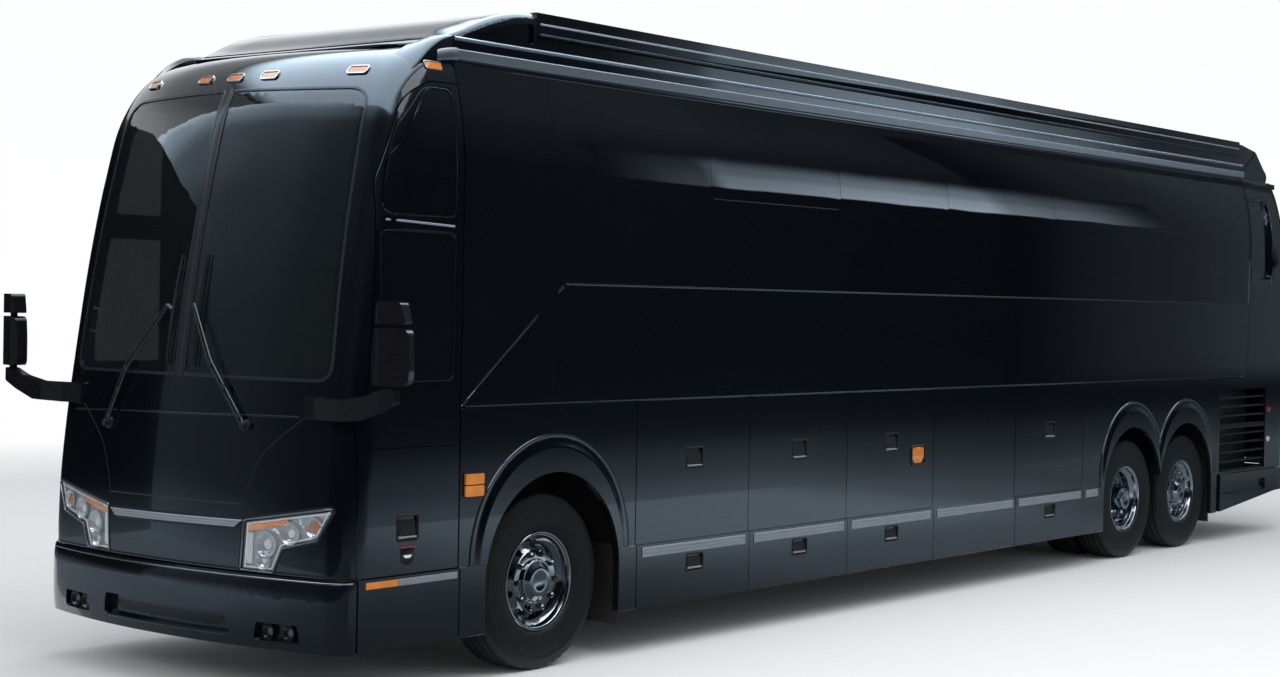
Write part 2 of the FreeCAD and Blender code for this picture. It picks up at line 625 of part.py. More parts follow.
def build_floor():
    edge = SIDE_X - PANEL - SEAT_GAP
    wall_edge = SIDE_X - WALL - 0.8
    bay_low = SKIRT_Z + 2.0
    bay_front = AXLE_Y + BAY_START
    bay_back = AXLE_Y + BAY_END
    cab_front = AXLE_Y - 1560.0
    under_deck = DECK_Z - 45.0
    pieces = []
    # Luggage bays: floor, bulkheads and the saloon floor above them
    pieces.append(box(-edge + 12, edge - 12, bay_front + 20, bay_back - 20, bay_low, bay_low + PLATE))
    pieces.append(box(-edge, edge, bay_front - 45, FENDER_END_Y - 20, DECK_Z - 60.0, DECK_Z - 30.0))
    stations = [BAY_START + i * BAY_DOOR_PITCH for i in range(4)] + [BAY4_START, BAY_END]
    for station in stations:
        y = min(max(AXLE_Y + station, bay_front + 35), bay_back - 35)
        pieces.append(box(-edge, edge, y - 15, y + 15, bay_low, under_deck))
    # Cab: floor, riser up to the saloon and the compartment floor
    low_z = CAB_FLOOR_Z - PLATE
    pieces.append(box(-edge, edge, CAB_Y + 20, bay_front + 20, low_z, CAB_FLOOR_Z))
    pieces.append(box(-STEP_INNER_X, 1180.0, cab_front, CAB_Y + 30, low_z, CAB_FLOOR_Z))
    lip = box(-STEP_INNER_X, 1000.0, AXLE_Y - 1800.0, cab_front + 10.0, low_z, CAB_FLOOR_Z)
    pieces.append(lip.common(nose_loft(WALL + SEAT_GAP, CAB_Y)))
    pieces.append(box(1100.0, wall_edge - 6.0, AXLE_Y - 1420.0, CAB_Y - 10.0, low_z, CAB_FLOOR_Z))
    pieces.append(box(1190.0, wall_edge - 6.0, CAB_Y - 90.0, CAB_Y - 10.0, CAB_FLOOR_Z - 10, 1440.0))
    pieces.append(box(1190.0, wall_edge, AXLE_Y - 1400.0, CAB_Y - 10.0, 1400.0, 1440.0))
    pieces.append(box(-wall_edge, wall_edge, FENDER_END_Y - 30, HALF_L - 560.0, DECK_Z - 60.0, DECK_Z - 30.0))
    pieces.append(box(-edge, edge, bay_front - 10, bay_front + 20, CAB_FLOOR_Z - 10, under_deck))
    pieces.append(box(WELL_INNER_X, wall_edge, AXLE_Y - 1420.0, CAB_Y + 30.0, bay_low, bay_low + PLATE))
    # Wheel wells
    for side in (1, -1):
        def across(near, far):
            return sorted((side * near, side * far))
        x0, x1 = across(WELL_INNER_X - PLATE, WELL_INNER_X)
        pieces.append(box(x0, x1, CAB_Y + 20, bay_front + 40, bay_low, CAB_FLOOR_Z - 5))
        pieces.append(box(x0, x1, bay_back - 60, FENDER_END_Y - 20, 900.0, under_deck))
        x0, x1 = across(WELL_INNER_X - PLATE, edge)
        pieces.append(box(x0, x1, CAB_Y + 20, CAB_Y + 20 + PLATE, bay_low, CAB_FLOOR_Z - 5))
        pieces.append(box(x0, x1, FENDER_END_Y - 60, FENDER_END_Y - 30, 500.0, under_deck))
        pieces.append(box(x0, x1, bay_back - 60, FENDER_END_Y - 30, 1240.0, 1240.0 + PLATE))
        # Hangers for the front mudflaps
        x0, x1 = across(950.0, edge)
        pieces.append(box(x0, x1, FRONT_FLAP_Y + FLAP_THICK + SEAT_GAP, bay_front + 30.0, 640.0, 660.0))
        pieces.append(box(x0, x1, FRONT_FLAP_Y + FLAP_THICK + SEAT_GAP, FRONT_FLAP_Y + FLAP_THICK + 14.0,
                          560.0, 660.0))
    floor = fuse_all(pieces)
    axle_way = box(-700.0, 700.0, AXLE_Y - 140.0, AXLE_Y + 140.0, 0.0, 760.0)
    keep("floor_structure", floor.cut(axle_way))


FLAP_THICK = 12.0
FRONT_FLAP_Y = AXLE_Y + 710.0
REAR_FLAP_Y = FENDER_END_Y - 60.0 - FLAP_THICK - SEAT_GAP


def build_steps():
    x0 = -(SIDE_X - WALL - 12.0)
    x1 = -STEP_INNER_X - SEAT_GAP
    y0 = AXLE_Y - 1480.0
    y1 = CAB_Y + 20.0 - SEAT_GAP
    rises = 4
    low = 400.0
    rise = (CAB_FLOOR_Z - low) / rises
    depth = (x1 - x0) / rises
    pieces = []
    for i in range(rises):
        top = low + i * rise
        pieces.append(box(x0 + i * depth, x1, y0, y1, top - PLATE, top))
        riser = x0 + (i + 1) * depth
        pieces.append(box(riser - PLATE, riser, y0, y1, top - 5, top + rise - 5))
    keep("entrance_steps", fuse_all(pieces))


def build_chassis():
    pieces = []
    front_end = AXLE_Y - 1500.0
    for side in (1, -1):
        x0, x1 = sorted((side * RAIL_INNER_X, side * (RAIL_INNER_X + RAIL_WIDTH)))
        pieces.append(box(x0, x1, front_end, AXLE_Y + BAY_START + 20.0, 660.0, 800.0))
        # Pad that a jack lifts at
        pieces.append(box(x0 + 10.0, x1 - 10.0, JACK_PAD_Y - 60.0, JACK_PAD_Y + 60.0, 640.0, 661.0))
        pieces.append(box(x0, x1, AXLE_Y + BAY_END - 20.0, HALF_L - 150.0, 760.0, 900.0))
        # Bumper brackets
        bracket = box(x0, x1, -HALF_L, front_end + 100.0, 560.0, 665.0)
        pieces.append(bracket.common(front_bumper_loft(BUMPER_WALL + SEAT_GAP, AXLE_Y)))
        bracket = box(x0, x1, HALF_L - 320.0, HALF_L, 500.0, 765.0)
        pieces.append(bracket.common(rear_bumper_loft(BUMPER_WALL + SEAT_GAP, AXLE_Y)))
    for y in (front_end + 20.0, AXLE_Y - 700.0, AXLE_Y + 700.0):
        pieces.append(box(-RAIL_INNER_X, RAIL_INNER_X, y, y + 80.0, 680.0, 780.0))
    for y in (DRIVE_Y - 700.0, DRIVE_Y + 560.0, TAG_Y + 500.0, HALF_L - 260.0):
        pieces.append(box(-RAIL_INNER_X, RAIL_INNER_X, y, y + 80.0, 780.0, 880.0))
    frame = fuse_all(pieces)
    pin_x = RAIL_INNER_X + RAIL_WIDTH / 2.0
    for y in (TOW_PIN_FRONT_Y, TOW_PIN_REAR_Y):
        frame = frame.cut(both(tube((pin_x, y, 400.0), (pin_x, y, 800.0), TOW_PIN_R)))
    keep("chassis_frame", frame)


# Roof

RAISED_X = 1150.0
ROOF_WAIST_X = 1105.0


def roof_outline(depth):
    base_z = ROOF_EDGE_Z if depth == 0 else ROOF_EDGE_Z - 20.0
    half = [
        (1176.0 - depth, base_z), (1176.0 - depth, 3706.0 - depth), (ROOF_WAIST_X - depth, 3722.0 - depth),
        (ROOF_WAIST_X - depth, 3788.0), (RAISED_X - depth, 3792.0), (RAISED_X - depth, HEIGHT - depth),
    ]
    if depth > 0:
        half = [(ROOF_WAIST_X - depth, base_z), (ROOF_WAIST_X - depth, HEIGHT - depth)]
    return half + [(-x, z) for x, z in reversed(half)]


def build_roof():
    y0 = CAB_Y + PANEL_GAP
    y1 = REAR_CAP_Y - PANEL_GAP
    raised_front = AXLE_Y - 40.0
    outer = prism_y(roof_outline(0.0), y0, y1)
    inner = prism_y(roof_outline(WALL), y0 - 50, y1 + 50)
    roof = outer.cut(inner)
    front_drop = box(-FAR, FAR, -FAR, raised_front, 3715.0, 5000.0)
    low_roof = box(-ROOF_WAIST_X, ROOF_WAIST_X, y0, raised_front + 60.0, 3640.0, 3690.0)
    roof = roof.cut(front_drop).fuse(low_roof)
    riser = box(-ROOF_WAIST_X, ROOF_WAIST_X, raised_front, raised_front + 50.0, 3660.0, HEIGHT - 10.0)
    tail = box(-ROOF_WAIST_X, ROOF_WAIST_X, y1 - 50.0, y1, 3560.0, HEIGHT - 10.0)
    keep("roof", roof.fuse([riser, tail]).removeSplitter())

    rails = []
    for z0, z1, x0, x1 in ((3566.0, 3636.0, 1176.3, 1206.0), (3680.0, 3706.0, 1176.3, 1196.0)):
        rails.append(prism_y([(x0, z0), (x1, z0 + 8.0), (x1, z1 - 8.0), (x0, z1)], y0, y1, 0))
    keep("roof_rails", [m for r in rails for m in both(r)])


# The fairing's sections: place along from the front axle, half width, top and shoulder radius
FAIRING_SECTIONS = (
    (-1005.0, 800.0, 3656.0, 8.0),
    (-940.0, 890.0, 3664.0, 14.0),
    (-850.0, 985.0, 3680.0, 22.0),
    (-740.0, 1065.0, 3716.0, 34.0),
    (-620.0, 1115.0, 3768.0, 48.0),
    (-490.0, 1138.0, 3828.0, 58.0),
    (-360.0, 1147.0, 3876.0, 62.0),
    (-230.0, 1150.0, 3908.0, 62.0),
    (-130.0, 1150.0, 3922.0, 62.0),
    (-40.3, 1150.0, 3928.0, 62.0),
)


def build_fairing():
    """The rounded wedge ahead of the roof box, lofted through sections with round shoulders."""
    base = BROW_TOP_Z + SEAT_GAP
    wires = []
    for station, half, top, radius in FAIRING_SECTIONS:
        y = AXLE_Y + station
        corner = radius * (1.0 - math.sqrt(0.5))
        feet = [Vector(-half, y, base), Vector(half, y, base)]
        sides = [Vector(-half, y, top - radius), Vector(half, y, top - radius)]
        bends = [Vector(-half + corner, y, top - corner), Vector(half - corner, y, top - corner)]
        brows = [Vector(-half + radius, y, top), Vector(half - radius, y, top)]
        wires.append(Part.Wire([
            Part.LineSegment(feet[0], sides[0]).toShape(),
            Part.Arc(sides[0], bends[0], brows[0]).toShape(),
            Part.LineSegment(brows[0], brows[1]).toShape(),
            Part.Arc(brows[1], bends[1], sides[1]).toShape(),
            Part.LineSegment(sides[1], feet[1]).toShape(),
            Part.LineSegment(feet[1], feet[0]).toShape(),
        ]))
    body = Part.makeLoft(wires, True, False)
    body = body.cut(box(-FAR, FAR, CAB_Y, AXLE_Y, 3000.0, 3715.3))
    panel = prism_x(at_axle([(-560.0, 3735.0), (-62.0, 3735.0), (-62.0, 3862.0), (-300.0, 3820.0)]),
                    1128.0, 1400.0, (4.0, 12.0, 12.0, 40.0))
    keep("roof_fairing", body.cut(both(panel)).removeSplitter())


# Rear

REAR_SECTIONS = (
    (655.0, 6859.0, 960.0, 6800.0, 6500.0),
    (1200.0, 6857.0, 960.0, 6798.0, 6495.0),
    (1800.0, 6850.0, 958.0, 6788.0, 6485.0),
    (2400.0, 6825.0, 955.0, 6760.0, 6455.0),
    (2900.0, 6790.0, 948.0, 6722.0, 6415.0),
    (3150.0, 6762.0, 938.0, 6692.0, 6385.0),
    (3375.0, 6725.0, 920.0, 6652.0, 6345.0),
    (3560.0, 6680.0, 895.0, 6604.0, 6295.0),
)


def rear_section(row, depth, front):
    z, tail, corner_x, corner_y, side_y, half = row
    half -= depth
    corner_x -= depth * 0.6
    tail -= depth
    corner_y -= depth
    sag = tail - corner_y
    radius = (corner_x * corner_x + sag * sag) / (2.0 * sag)
    slope = math.tan(math.asin(corner_x / radius))
    left = Vector(corner_x, corner_y, z)
    right = Vector(-corner_x, corner_y, z)
    bend = corner_y - (half - corner_x) * slope
    side_l = Vector(half, side_y, z)
    side_r = Vector(-half, side_y, z)
    bezier_l = Part.BezierCurve()
    bezier_l.setPoles([left, Vector(half, bend, z), side_l])
    bezier_r = Part.BezierCurve()
    bezier_r.setPoles([side_r, Vector(-half, bend, z), right])
    front_l = Vector(half, front, z)
    front_r = Vector(-half, front, z)
    return Part.Wire([
        Part.Arc(right, Vector(0, tail, z), left).toShape(),
        bezier_l.toShape(),
        Part.LineSegment(side_l, front_l).toShape(),
        Part.LineSegment(front_l, front_r).toShape(),
        Part.LineSegment(front_r, side_r).toShape(),
        bezier_r.toShape(),
    ])


def halved(rows):
    """Adds a row half way between each pair, so that the loft keeps close to them."""
    dense = []
    for low, high in zip(rows, rows[1:]):
        dense += [low, tuple((a + b) / 2.0 for a, b in zip(low, high))]
    return dense + [rows[-1]]


def rear_loft(depth, front):
    rows = halved(REAR_SECTIONS)
    wires = [rear_section(row + (side_x(row[0]),), depth, front) for row in rows]
    return Part.makeLoft(wires, True, False)


def build_rear():
    start = FENDER_END_Y + PANEL_GAP / 2
    outer = rear_loft(0.0, start)
    inner = rear_loft(WALL, start - 50.0)
    shell = outer.cut(inner)
    shell = shell.cut(box(-FAR, FAR, -FAR, REAR_CAP_Y, BELT_Z - PANEL_GAP / 2, 5000.0))
    cap_top = box(-1130.0, 1130.0, REAR_CAP_Y + 2.0, 6600.0, 3510.0, 3560.0)
    door_outline = ((-905.0, 700.0), (905.0, 700.0), (905.0, 1560.0), (-905.0, 1560.0))
    door_zone = prism_y(door_outline, 6300.0, FAR, 40.0)
    door_body = prism_y(inset(door_outline, PANEL_GAP), 6300.0, FAR, 36.0)
    engine_door = shell.common(door_body)
    window = ((-880.0, 2330.0), (880.0, 2330.0), (820.0, 3200.0), (-820.0, 3200.0))
    window_hole = prism_y(inset(window, 40.0), 6300.0, FAR, 60.0)
    layer = outer.cut(rear_loft(GLASS_REVEAL + GLASS + SEAT_GAP, start - 50.0))
    window_rebate = layer.common(prism_y(window, 6300.0, FAR, 90.0))
    glass = rear_loft(GLASS_REVEAL, start).cut(rear_loft(GLASS_REVEAL + GLASS, start - 50.0))
    pane = glass.common(prism_y(inset(window, 3.0), 6300.0, FAR, 90.0))
    grille_zone = box(900.0, 1400.0, AXLE_Y + 9960.0, AXLE_Y + 11110.0, 667.0, 1474.0)
    inlet_layer = outer.cut(rear_loft(WALL - 15.0, start - 50.0))
    inlet = prism_x(at_axle([(10660.0, 2570.0), (11190.0, 2570.0), (11140.0, 3360.0), (10660.0, 3360.0)]),
                    600.0, 2000.0, 50.0)
    inlets = [inlet_layer.common(tool) for tool in both(inlet)]
    shell = shell.cut([door_zone, window_hole, window_rebate, grille_zone, mirrored(grille_zone)] + inlets)
    shell = shell.fuse(cap_top)
    rod_z = 1560.0 - PANEL_GAP / 2.0
    rod_y = HALF_L - 3.5
    strip = box(-200.0, 200.0, rod_y - 14.0, rod_y, rod_z - PANEL_GAP, rod_z)
    rod = hinge_rod((-200.0, rod_y, rod_z), (200.0, rod_y, rod_z), strip)
    engine_door = engine_door.fuse(rod).removeSplitter()
    keep("rear_cap", shell)
    keep("rear_window", pane)
    keep("engine_door", engine_door)

    # Roof tail over the rear cap
    tail = prism_x([(REAR_CAP_Y, 3560.3), (6600.0, 3560.3), (6360.0, 3700.0), (6140.0, 3868.0),
                    (REAR_CAP_Y + 160.0, HEIGHT - 14.0), (REAR_CAP_Y, HEIGHT - 10.0)],
                   -ROOF_WAIST_X, ROOF_WAIST_X, (0, 60.0, 120.0, 120.0, 0, 0))
    keep("roof_tail", tail)

    grille = []
    slats = 9
    pitch = (1474.0 - 667.0) / slats
    x0 = SIDE_X - WALL + 6.0
    for i in range(slats):
        z = 667.0 + i * pitch
        grille.append(prism_y([(x0, z + 8.0), (x0 + 30.0, z), (x0 + 30.0, z + 12.0), (x0, z + 20.0)],
                              AXLE_Y + 9960.3, AXLE_Y + 11109.7))
    grille.append(box(SIDE_X - 12.0, SIDE_X - 2.0, AXLE_Y + 9960.3, AXLE_Y + 11109.7, 1090.0, 1112.0))
    keep("side_grilles", [m for g in grille for m in both(g)])


BUMPER_HALF = SIDE_X + SKIRT_PROUD - 8.0
FRONT_BUMPER_SECTIONS = (
    (SKIRT_Z, -1845.0, 1150.0, -1700.0, -1580.0, BUMPER_HALF - 2.0),
    (340.0, -1853.0, 1150.0, -1708.0, -1580.0, BUMPER_HALF - 1.0),
    (400.0, -1858.0, 1150.0, -1713.0, -1580.0, BUMPER_HALF),
    (480.0, -1860.0, 1150.0, -1715.0, -1580.0, BUMPER_HALF),
    (560.0, -1860.0, 1150.0, -1715.0, -1580.0, BUMPER_HALF),
    (630.0, -1856.0, 1150.0, -1711.0, -1580.0, BUMPER_HALF),
    (CREASE_Z, -1835.0, 1150.0, -1695.0, -1580.0, BUMPER_HALF - 2.0),
)
INTAKE_DEPTH = 45.0


def front_bumper_loft(depth, back):
    """The bumper's outer form, or the room inside it, which is open above and below."""
    rows = list(FRONT_BUMPER_SECTIONS)
    if depth > 0:
        rows[0] = (SKIRT_Z - 1.0,) + rows[0][1:]
        rows[-1] = (CREASE_Z + 1.0,) + rows[-1][1:]
    return Part.makeLoft([nose_section(row, depth, back) for row in rows], True, False)


def rear_bumper_loft(depth, front):
    low = SKIRT_Z - (1.0 if depth > 0 else 0.0)
    high = 648.0 + (120.0 if depth > 0 else 0.0)
    row = REAR_SECTIONS[0][1:] + (SIDE_X + SKIRT_PROUD,)
    sections = [rear_section((z,) + row, depth, front) for z in (low, high)]
    return Part.makeLoft(sections, True, True)


def build_bumpers():
    back = CORNER_Y - PANEL_GAP
    bumper = front_bumper_loft(0.0, back).cut(front_bumper_loft(BUMPER_WALL, back + 50.0))
    # The intake and the fog lamp recesses are sunk into the bumper's wall
    front_layer = front_bumper_loft(0.0, back).cut(front_bumper_loft(INTAKE_DEPTH, back + 50.0))
    intake = prism_y([(-550.0, 345.0), (550.0, 345.0), (530.0, 468.0), (-530.0, 468.0)],
                     -FAR, AXLE_Y - 1500.0, 20.0)
    fog = prism_y([(720.0, 330.0), (1030.0, 330.0), (1010.0, 430.0), (740.0, 430.0)],
                  -FAR, AXLE_Y - 1500.0, 20.0)
    bumper = bumper.cut([front_layer.common(tool) for tool in (intake, fog, mirrored(fog))])
    # Seat for the entrance door's hinge rod
    lug = box(SIDE_X - 20.0, SIDE_X + 4.0, back - 2.0, back + PANEL_GAP, 330.0, 630.0)
    keep("front_bumper", bumper.fuse(mirrored(lug)).removeSplitter())

    low = 419.0
    start = AXLE_Y + 9975.0
    bumper = rear_bumper_loft(0.0, start).cut(rear_bumper_loft(BUMPER_WALL, start - 60.0))
    wedge = prism_x([(start - 10.0, 280.0), (start, 289.0), (HALF_L - 500.0, low),
                     (HALF_L + 10.0, low + 10.0), (HALF_L + 10.0, 280.0)], -2000.0, 2000.0)
    slot = prism_x(at_axle([(10040.0, 450.0), (11110.0, 450.0), (11110.0, 560.0), (10040.0, 560.0)]),
                   BUMPER_HALF - 25.0, BUMPER_HALF + 60.0, 30.0)
    keep("rear_bumper", bumper.cut([wedge] + both(slot)))


# Running gear

def ring_of_flats(profile, x_sign, x_at, y, z, flats):
    """A closed ring of flat facets about a wheel's axis. Profile points are (x, r)."""
    def corner(point, index):
        angle = 2.0 * math.pi * index / flats
        px, r = point
        return Vector(x_at + x_sign * px, y + r * math.cos(angle), z + r * math.sin(angle))
    faces = []
    count = len(profile)
    for i in range(flats):
        for j in range(count):
            a = corner(profile[j], i)
            b = corner(profile[(j + 1) % count], i)
            c = corner(profile[(j + 1) % count], i + 1)
            d = corner(profile[j], i + 1)
            faces.append(Part.Face(Part.makePolygon([a, b, c, d, a])))
    return Part.Solid(Part.Shell(faces))


def tyre(x_at, y):
    half = TYRE_WIDTH / 2.0
    bore = (RIM_R + SEAT_GAP) / math.cos(math.pi / TYRE_FLATS)
    profile = [(-half * 0.8, TYRE_R), (half * 0.8, TYRE_R), (half, TYRE_R - 80.0),
               (half * 0.74, bore), (-half * 0.74, bore), (-half, TYRE_R - 80.0)]
    return ring_of_flats(profile, 1.0, x_at, y, TYRE_R, TYRE_FLATS)


def revolved(points, y, z):
    """Turns an outline of (x, r) points round a wheel's axis."""
    corners = [Vector(x, y, z + r) for x, r in points]
    face = Part.Face(Part.makePolygon(corners + [corners[0]]))
    turned = face.revolve(Vector(0, y, z), Vector(1, 0, 0), 360)
    if turned.Volume < 0:
        turned.reverse()
    return turned


HUB_BORE = 62.0
SPINDLE_R = HUB_BORE - RUN_CLEARANCE
SPINDLE_END = TYRE_FACE_X - 60.0
RIM_WALL = 14.0
RIM_HALF = TYRE_WIDTH / 2.0 * 0.8


def rim_barrel(x_at, y):
    """The band that carries the tyre, with a raised lip at each side and a dropped centre."""
    lip = RIM_HALF + 8.0
    well = RIM_R - 34.0
    outer = [(-RIM_HALF, RIM_R), (-90.0, RIM_R), (-70.0, well), (70.0, well), (90.0, RIM_R),
             (RIM_HALF, RIM_R), (lip, RIM_R), (lip, RIM_R - RIM_WALL), (86.0, RIM_R - RIM_WALL),
             (66.0, well - RIM_WALL), (-66.0, well - RIM_WALL), (-86.0, RIM_R - RIM_WALL),
             (-lip, RIM_R - RIM_WALL), (-lip, RIM_R)]
    return revolved([(x_at + x, r) for x, r in outer], y, TYRE_R)


def wheel_disc(side, x_at, y, face, dish):
    """A wheel's disc: a flat bolt face and a cone out to the rim's well."""
    well = RIM_R - 34.0 - RIM_WALL
    t = 12.0
    root = x_at + side * dish
    flat = x_at + side * face
    outline = [(root, well + 2.0), (flat, 185.0), (flat, HUB_BORE), (flat - side * t, HUB_BORE),
               (flat - side * t, 180.0), (root - side * t, well + 2.0)]
    return revolved(outline, y, TYRE_R)


def wheel(side, y, twin):
    """One side's wheel body: a rim or two with their discs and the hub, as one solid."""
    x = side * WHEEL_X
    out = x + side * (TYRE_WIDTH / 2.0)
    face = -34.0 if twin else 96.0
    solids = [rim_barrel(x, y), wheel_disc(side, x, y, face, -50.0 if twin else 52.0)]
    hub_in = x + side * (face - 12.0)
    if twin:
        inner_x = x - side * TWIN_SPACING
        mate = TWIN_SPACING + face - 12.0
        solids.append(rim_barrel(inner_x, y))
        outline = [(inner_x + side * 52.0, RIM_R - 44.0), (inner_x + side * mate, 190.0),
                   (inner_x + side * mate, 120.0), (inner_x + side * (mate - 12.0), 120.0),
                   (inner_x + side * (mate - 12.0), 182.0), (inner_x + side * 40.0, RIM_R - 46.0)]
        solids.append(revolved(outline, y, TYRE_R))
        hub_in = inner_x + side * (mate - 12.0)
    hub_face = out - side * 14.0
    cap_in = side * SPINDLE_END + side * 8.0
    hub = revolved([(hub_face, 0.0), (hub_face, 88.0), (x + side * (face + 20.0), 118.0),
                    (x + side * (face + 20.0), 130.0), (hub_in, 130.0), (hub_in, HUB_BORE),
                    (cap_in, HUB_BORE), (cap_in, 0.0)], y, TYRE_R)
    solids.append(hub)
    return fuse_all(solids)


def build_wheels():
    sites = (("front", AXLE_Y, False), ("drive", DRIVE_Y, True), ("tag", TAG_Y, False))
    for name, y, twin in sites:
        for label, side in (("left", 1.0), ("right", -1.0)):
            tyres = [tyre(side * WHEEL_X, y)]
            if twin:
                tyres.append(tyre(side * (WHEEL_X - TWIN_SPACING), y))
            keep("%s_tyre_%s" % (name, label), tyres)
            keep("%s_wheel_%s" % (name, label), wheel(side, y, twin))


def build_axles():
    z = TYRE_R
    # Front: a dropped beam with a kingpin boss at each end
    boss_r = 46.0
    boss_half = 62.0
    beam = prism_y([(-KINGPIN_X, z + 40.0), (-KINGPIN_X, z - 40.0), (-820.0, z - 60.0), (-560.0, z - 150.0),
                    (560.0, z - 150.0), (820.0, z - 60.0), (KINGPIN_X, z - 40.0), (KINGPIN_X, z + 40.0),
                    (790.0, z + 30.0), (540.0, z - 50.0), (-540.0, z - 50.0), (-790.0, z + 30.0)],
                   AXLE_Y - 50.0, AXLE_Y + 50.0)
    parts = [beam]
    for side in (1, -1):
        x = side * KINGPIN_X
        parts.append(tube((x, AXLE_Y, z - boss_half), (x, AXLE_Y, z + boss_half), boss_r))
        parts.append(tube((x, AXLE_Y, z - 120.0), (x, AXLE_Y, z + 120.0), KINGPIN_R))
        sx = side * 420.0
        parts.append(box(sx - 40.0, sx + 40.0, AXLE_Y - 45.0, AXLE_Y + 45.0, z - 60.0, 659.7))
    keep("front_axle", fuse_all(parts))

    for label, side in (("left", 1.0), ("right", -1.0)):
        x = side * KINGPIN_X
        hole_r = KINGPIN_R + RUN_CLEARANCE
        pieces = []
        for low in (z + boss_half + 3.0, z - boss_half - 43.0):
            pieces.append(tube((x, AXLE_Y, low), (x, AXLE_Y, low + 40.0), 44.0))
            x_ends = sorted((x, x + side * 90.0))
            pieces.append(box(x_ends[0], x_ends[1], AXLE_Y - 40.0, AXLE_Y + 40.0, low, low + 40.0))
        x_ends = sorted((x + side * 60.0, x + side * 90.0))
        pieces.append(box(x_ends[0], x_ends[1], AXLE_Y - 50.0, AXLE_Y + 50.0, z - 105.0, z + 105.0))
        pieces.append(tube((x + side * 85.0, AXLE_Y, z), (side * SPINDLE_END, AXLE_Y, z), SPINDLE_R))
        body = fuse_all(pieces)
        body = body.cut(tube((x, AXLE_Y, z - 200.0), (x, AXLE_Y, z + 200.0), hole_r))
        keep("knuckle_%s" % label, body)

    half = WHEEL_X - 90.0
    housing = tube((-half, DRIVE_Y, z), (half, DRIVE_Y, z), SPINDLE_R)
    casing = tube((-480.0, DRIVE_Y, z), (480.0, DRIVE_Y, z), 95.0)
    bowl = Part.makeSphere(215.0, Vector(60.0, DRIVE_Y, z))
    bowl = bowl.common(box(-200.0, 320.0, DRIVE_Y - 230.0, DRIVE_Y + 230.0, z - 230.0, z + 225.0))
    nose = tube((60.0, DRIVE_Y + 100.0, z), (60.0, DRIVE_Y + 330.0, z + 10.0), 80.0)
    saddles = both(box(380.0, 460.0, DRIVE_Y - 60.0, DRIVE_Y + 60.0, z, 759.7))
    stubs = [tube((s * half, DRIVE_Y, z), (s * SPINDLE_END, DRIVE_Y, z), SPINDLE_R) for s in (1, -1)]
    keep("drive_axle", fuse_all([housing, casing, bowl, nose] + saddles + stubs))

    beam = tube((-460.0, TAG_Y, z), (460.0, TAG_Y, z), 80.0)
    ends = tube((-SPINDLE_END, TAG_Y, z), (SPINDLE_END, TAG_Y, z), SPINDLE_R)
    saddles = both(box(380.0, 460.0, TAG_Y - 60.0, TAG_Y + 60.0, z, 759.7))
    keep("tag_axle", fuse_all([beam, ends] + saddles))


def build_engine():
    keep("engine_block", box(-RAIL_INNER_X + SEAT_GAP, RAIL_INNER_X - SEAT_GAP,
                             TAG_Y + 640.0, HALF_L - 270.0, 640.0, 1480.0))


# Fittings

MIRROR_X = 1645.0
MIRROR_Y = -1700.0
MIRROR_TURN = 15.0
MIRROR_HALF = 118.0
MIRROR_DEEP = 46.0
ARM_ELEVATION = ((980.0, 1545.0), (1390.0, 1552.0), (1560.0, 1605.0), (1690.0, 1655.0),
                 (1690.0, 1735.0), (1620.0, 1735.0), (1500.0, 1692.0), (1330.0, 1664.0), (980.0, 1660.0))
ARM_PLAN = ((980.0, -1690.0), (1100.0, -1735.0), (1300.0, -1745.0), (1600.0, -1735.0), (1698.0, -1725.0),
            (1698.0, -1672.0), (1600.0, -1676.0), (1300.0, -1680.0), (1140.0, -1640.0), (1080.0, -1580.0),
            (980.0, -1600.0))


def mirror_head(outline, radii):
    """A mirror's housing about its own middle, with a bowed back and a sunk pane."""
    w, d = MIRROR_HALF, MIRROR_DEEP
    front = prism_y(outline, -d, d, radii)
    plan = prism_z([(-w, d), (w, d), (w, -0.2 * d), (0.55 * w, -d), (-0.55 * w, -d), (-w, -0.2 * d)],
                   1700.0, 2250.0, (10.0, 10.0, 30.0, 60.0, 60.0, 30.0))
    pane = prism_y(inset(outline, 14.0), d - 4.0, d + 10.0, [max(4.0, r - 14.0) for r in radii])
    return front.common(plan).cut(pane)


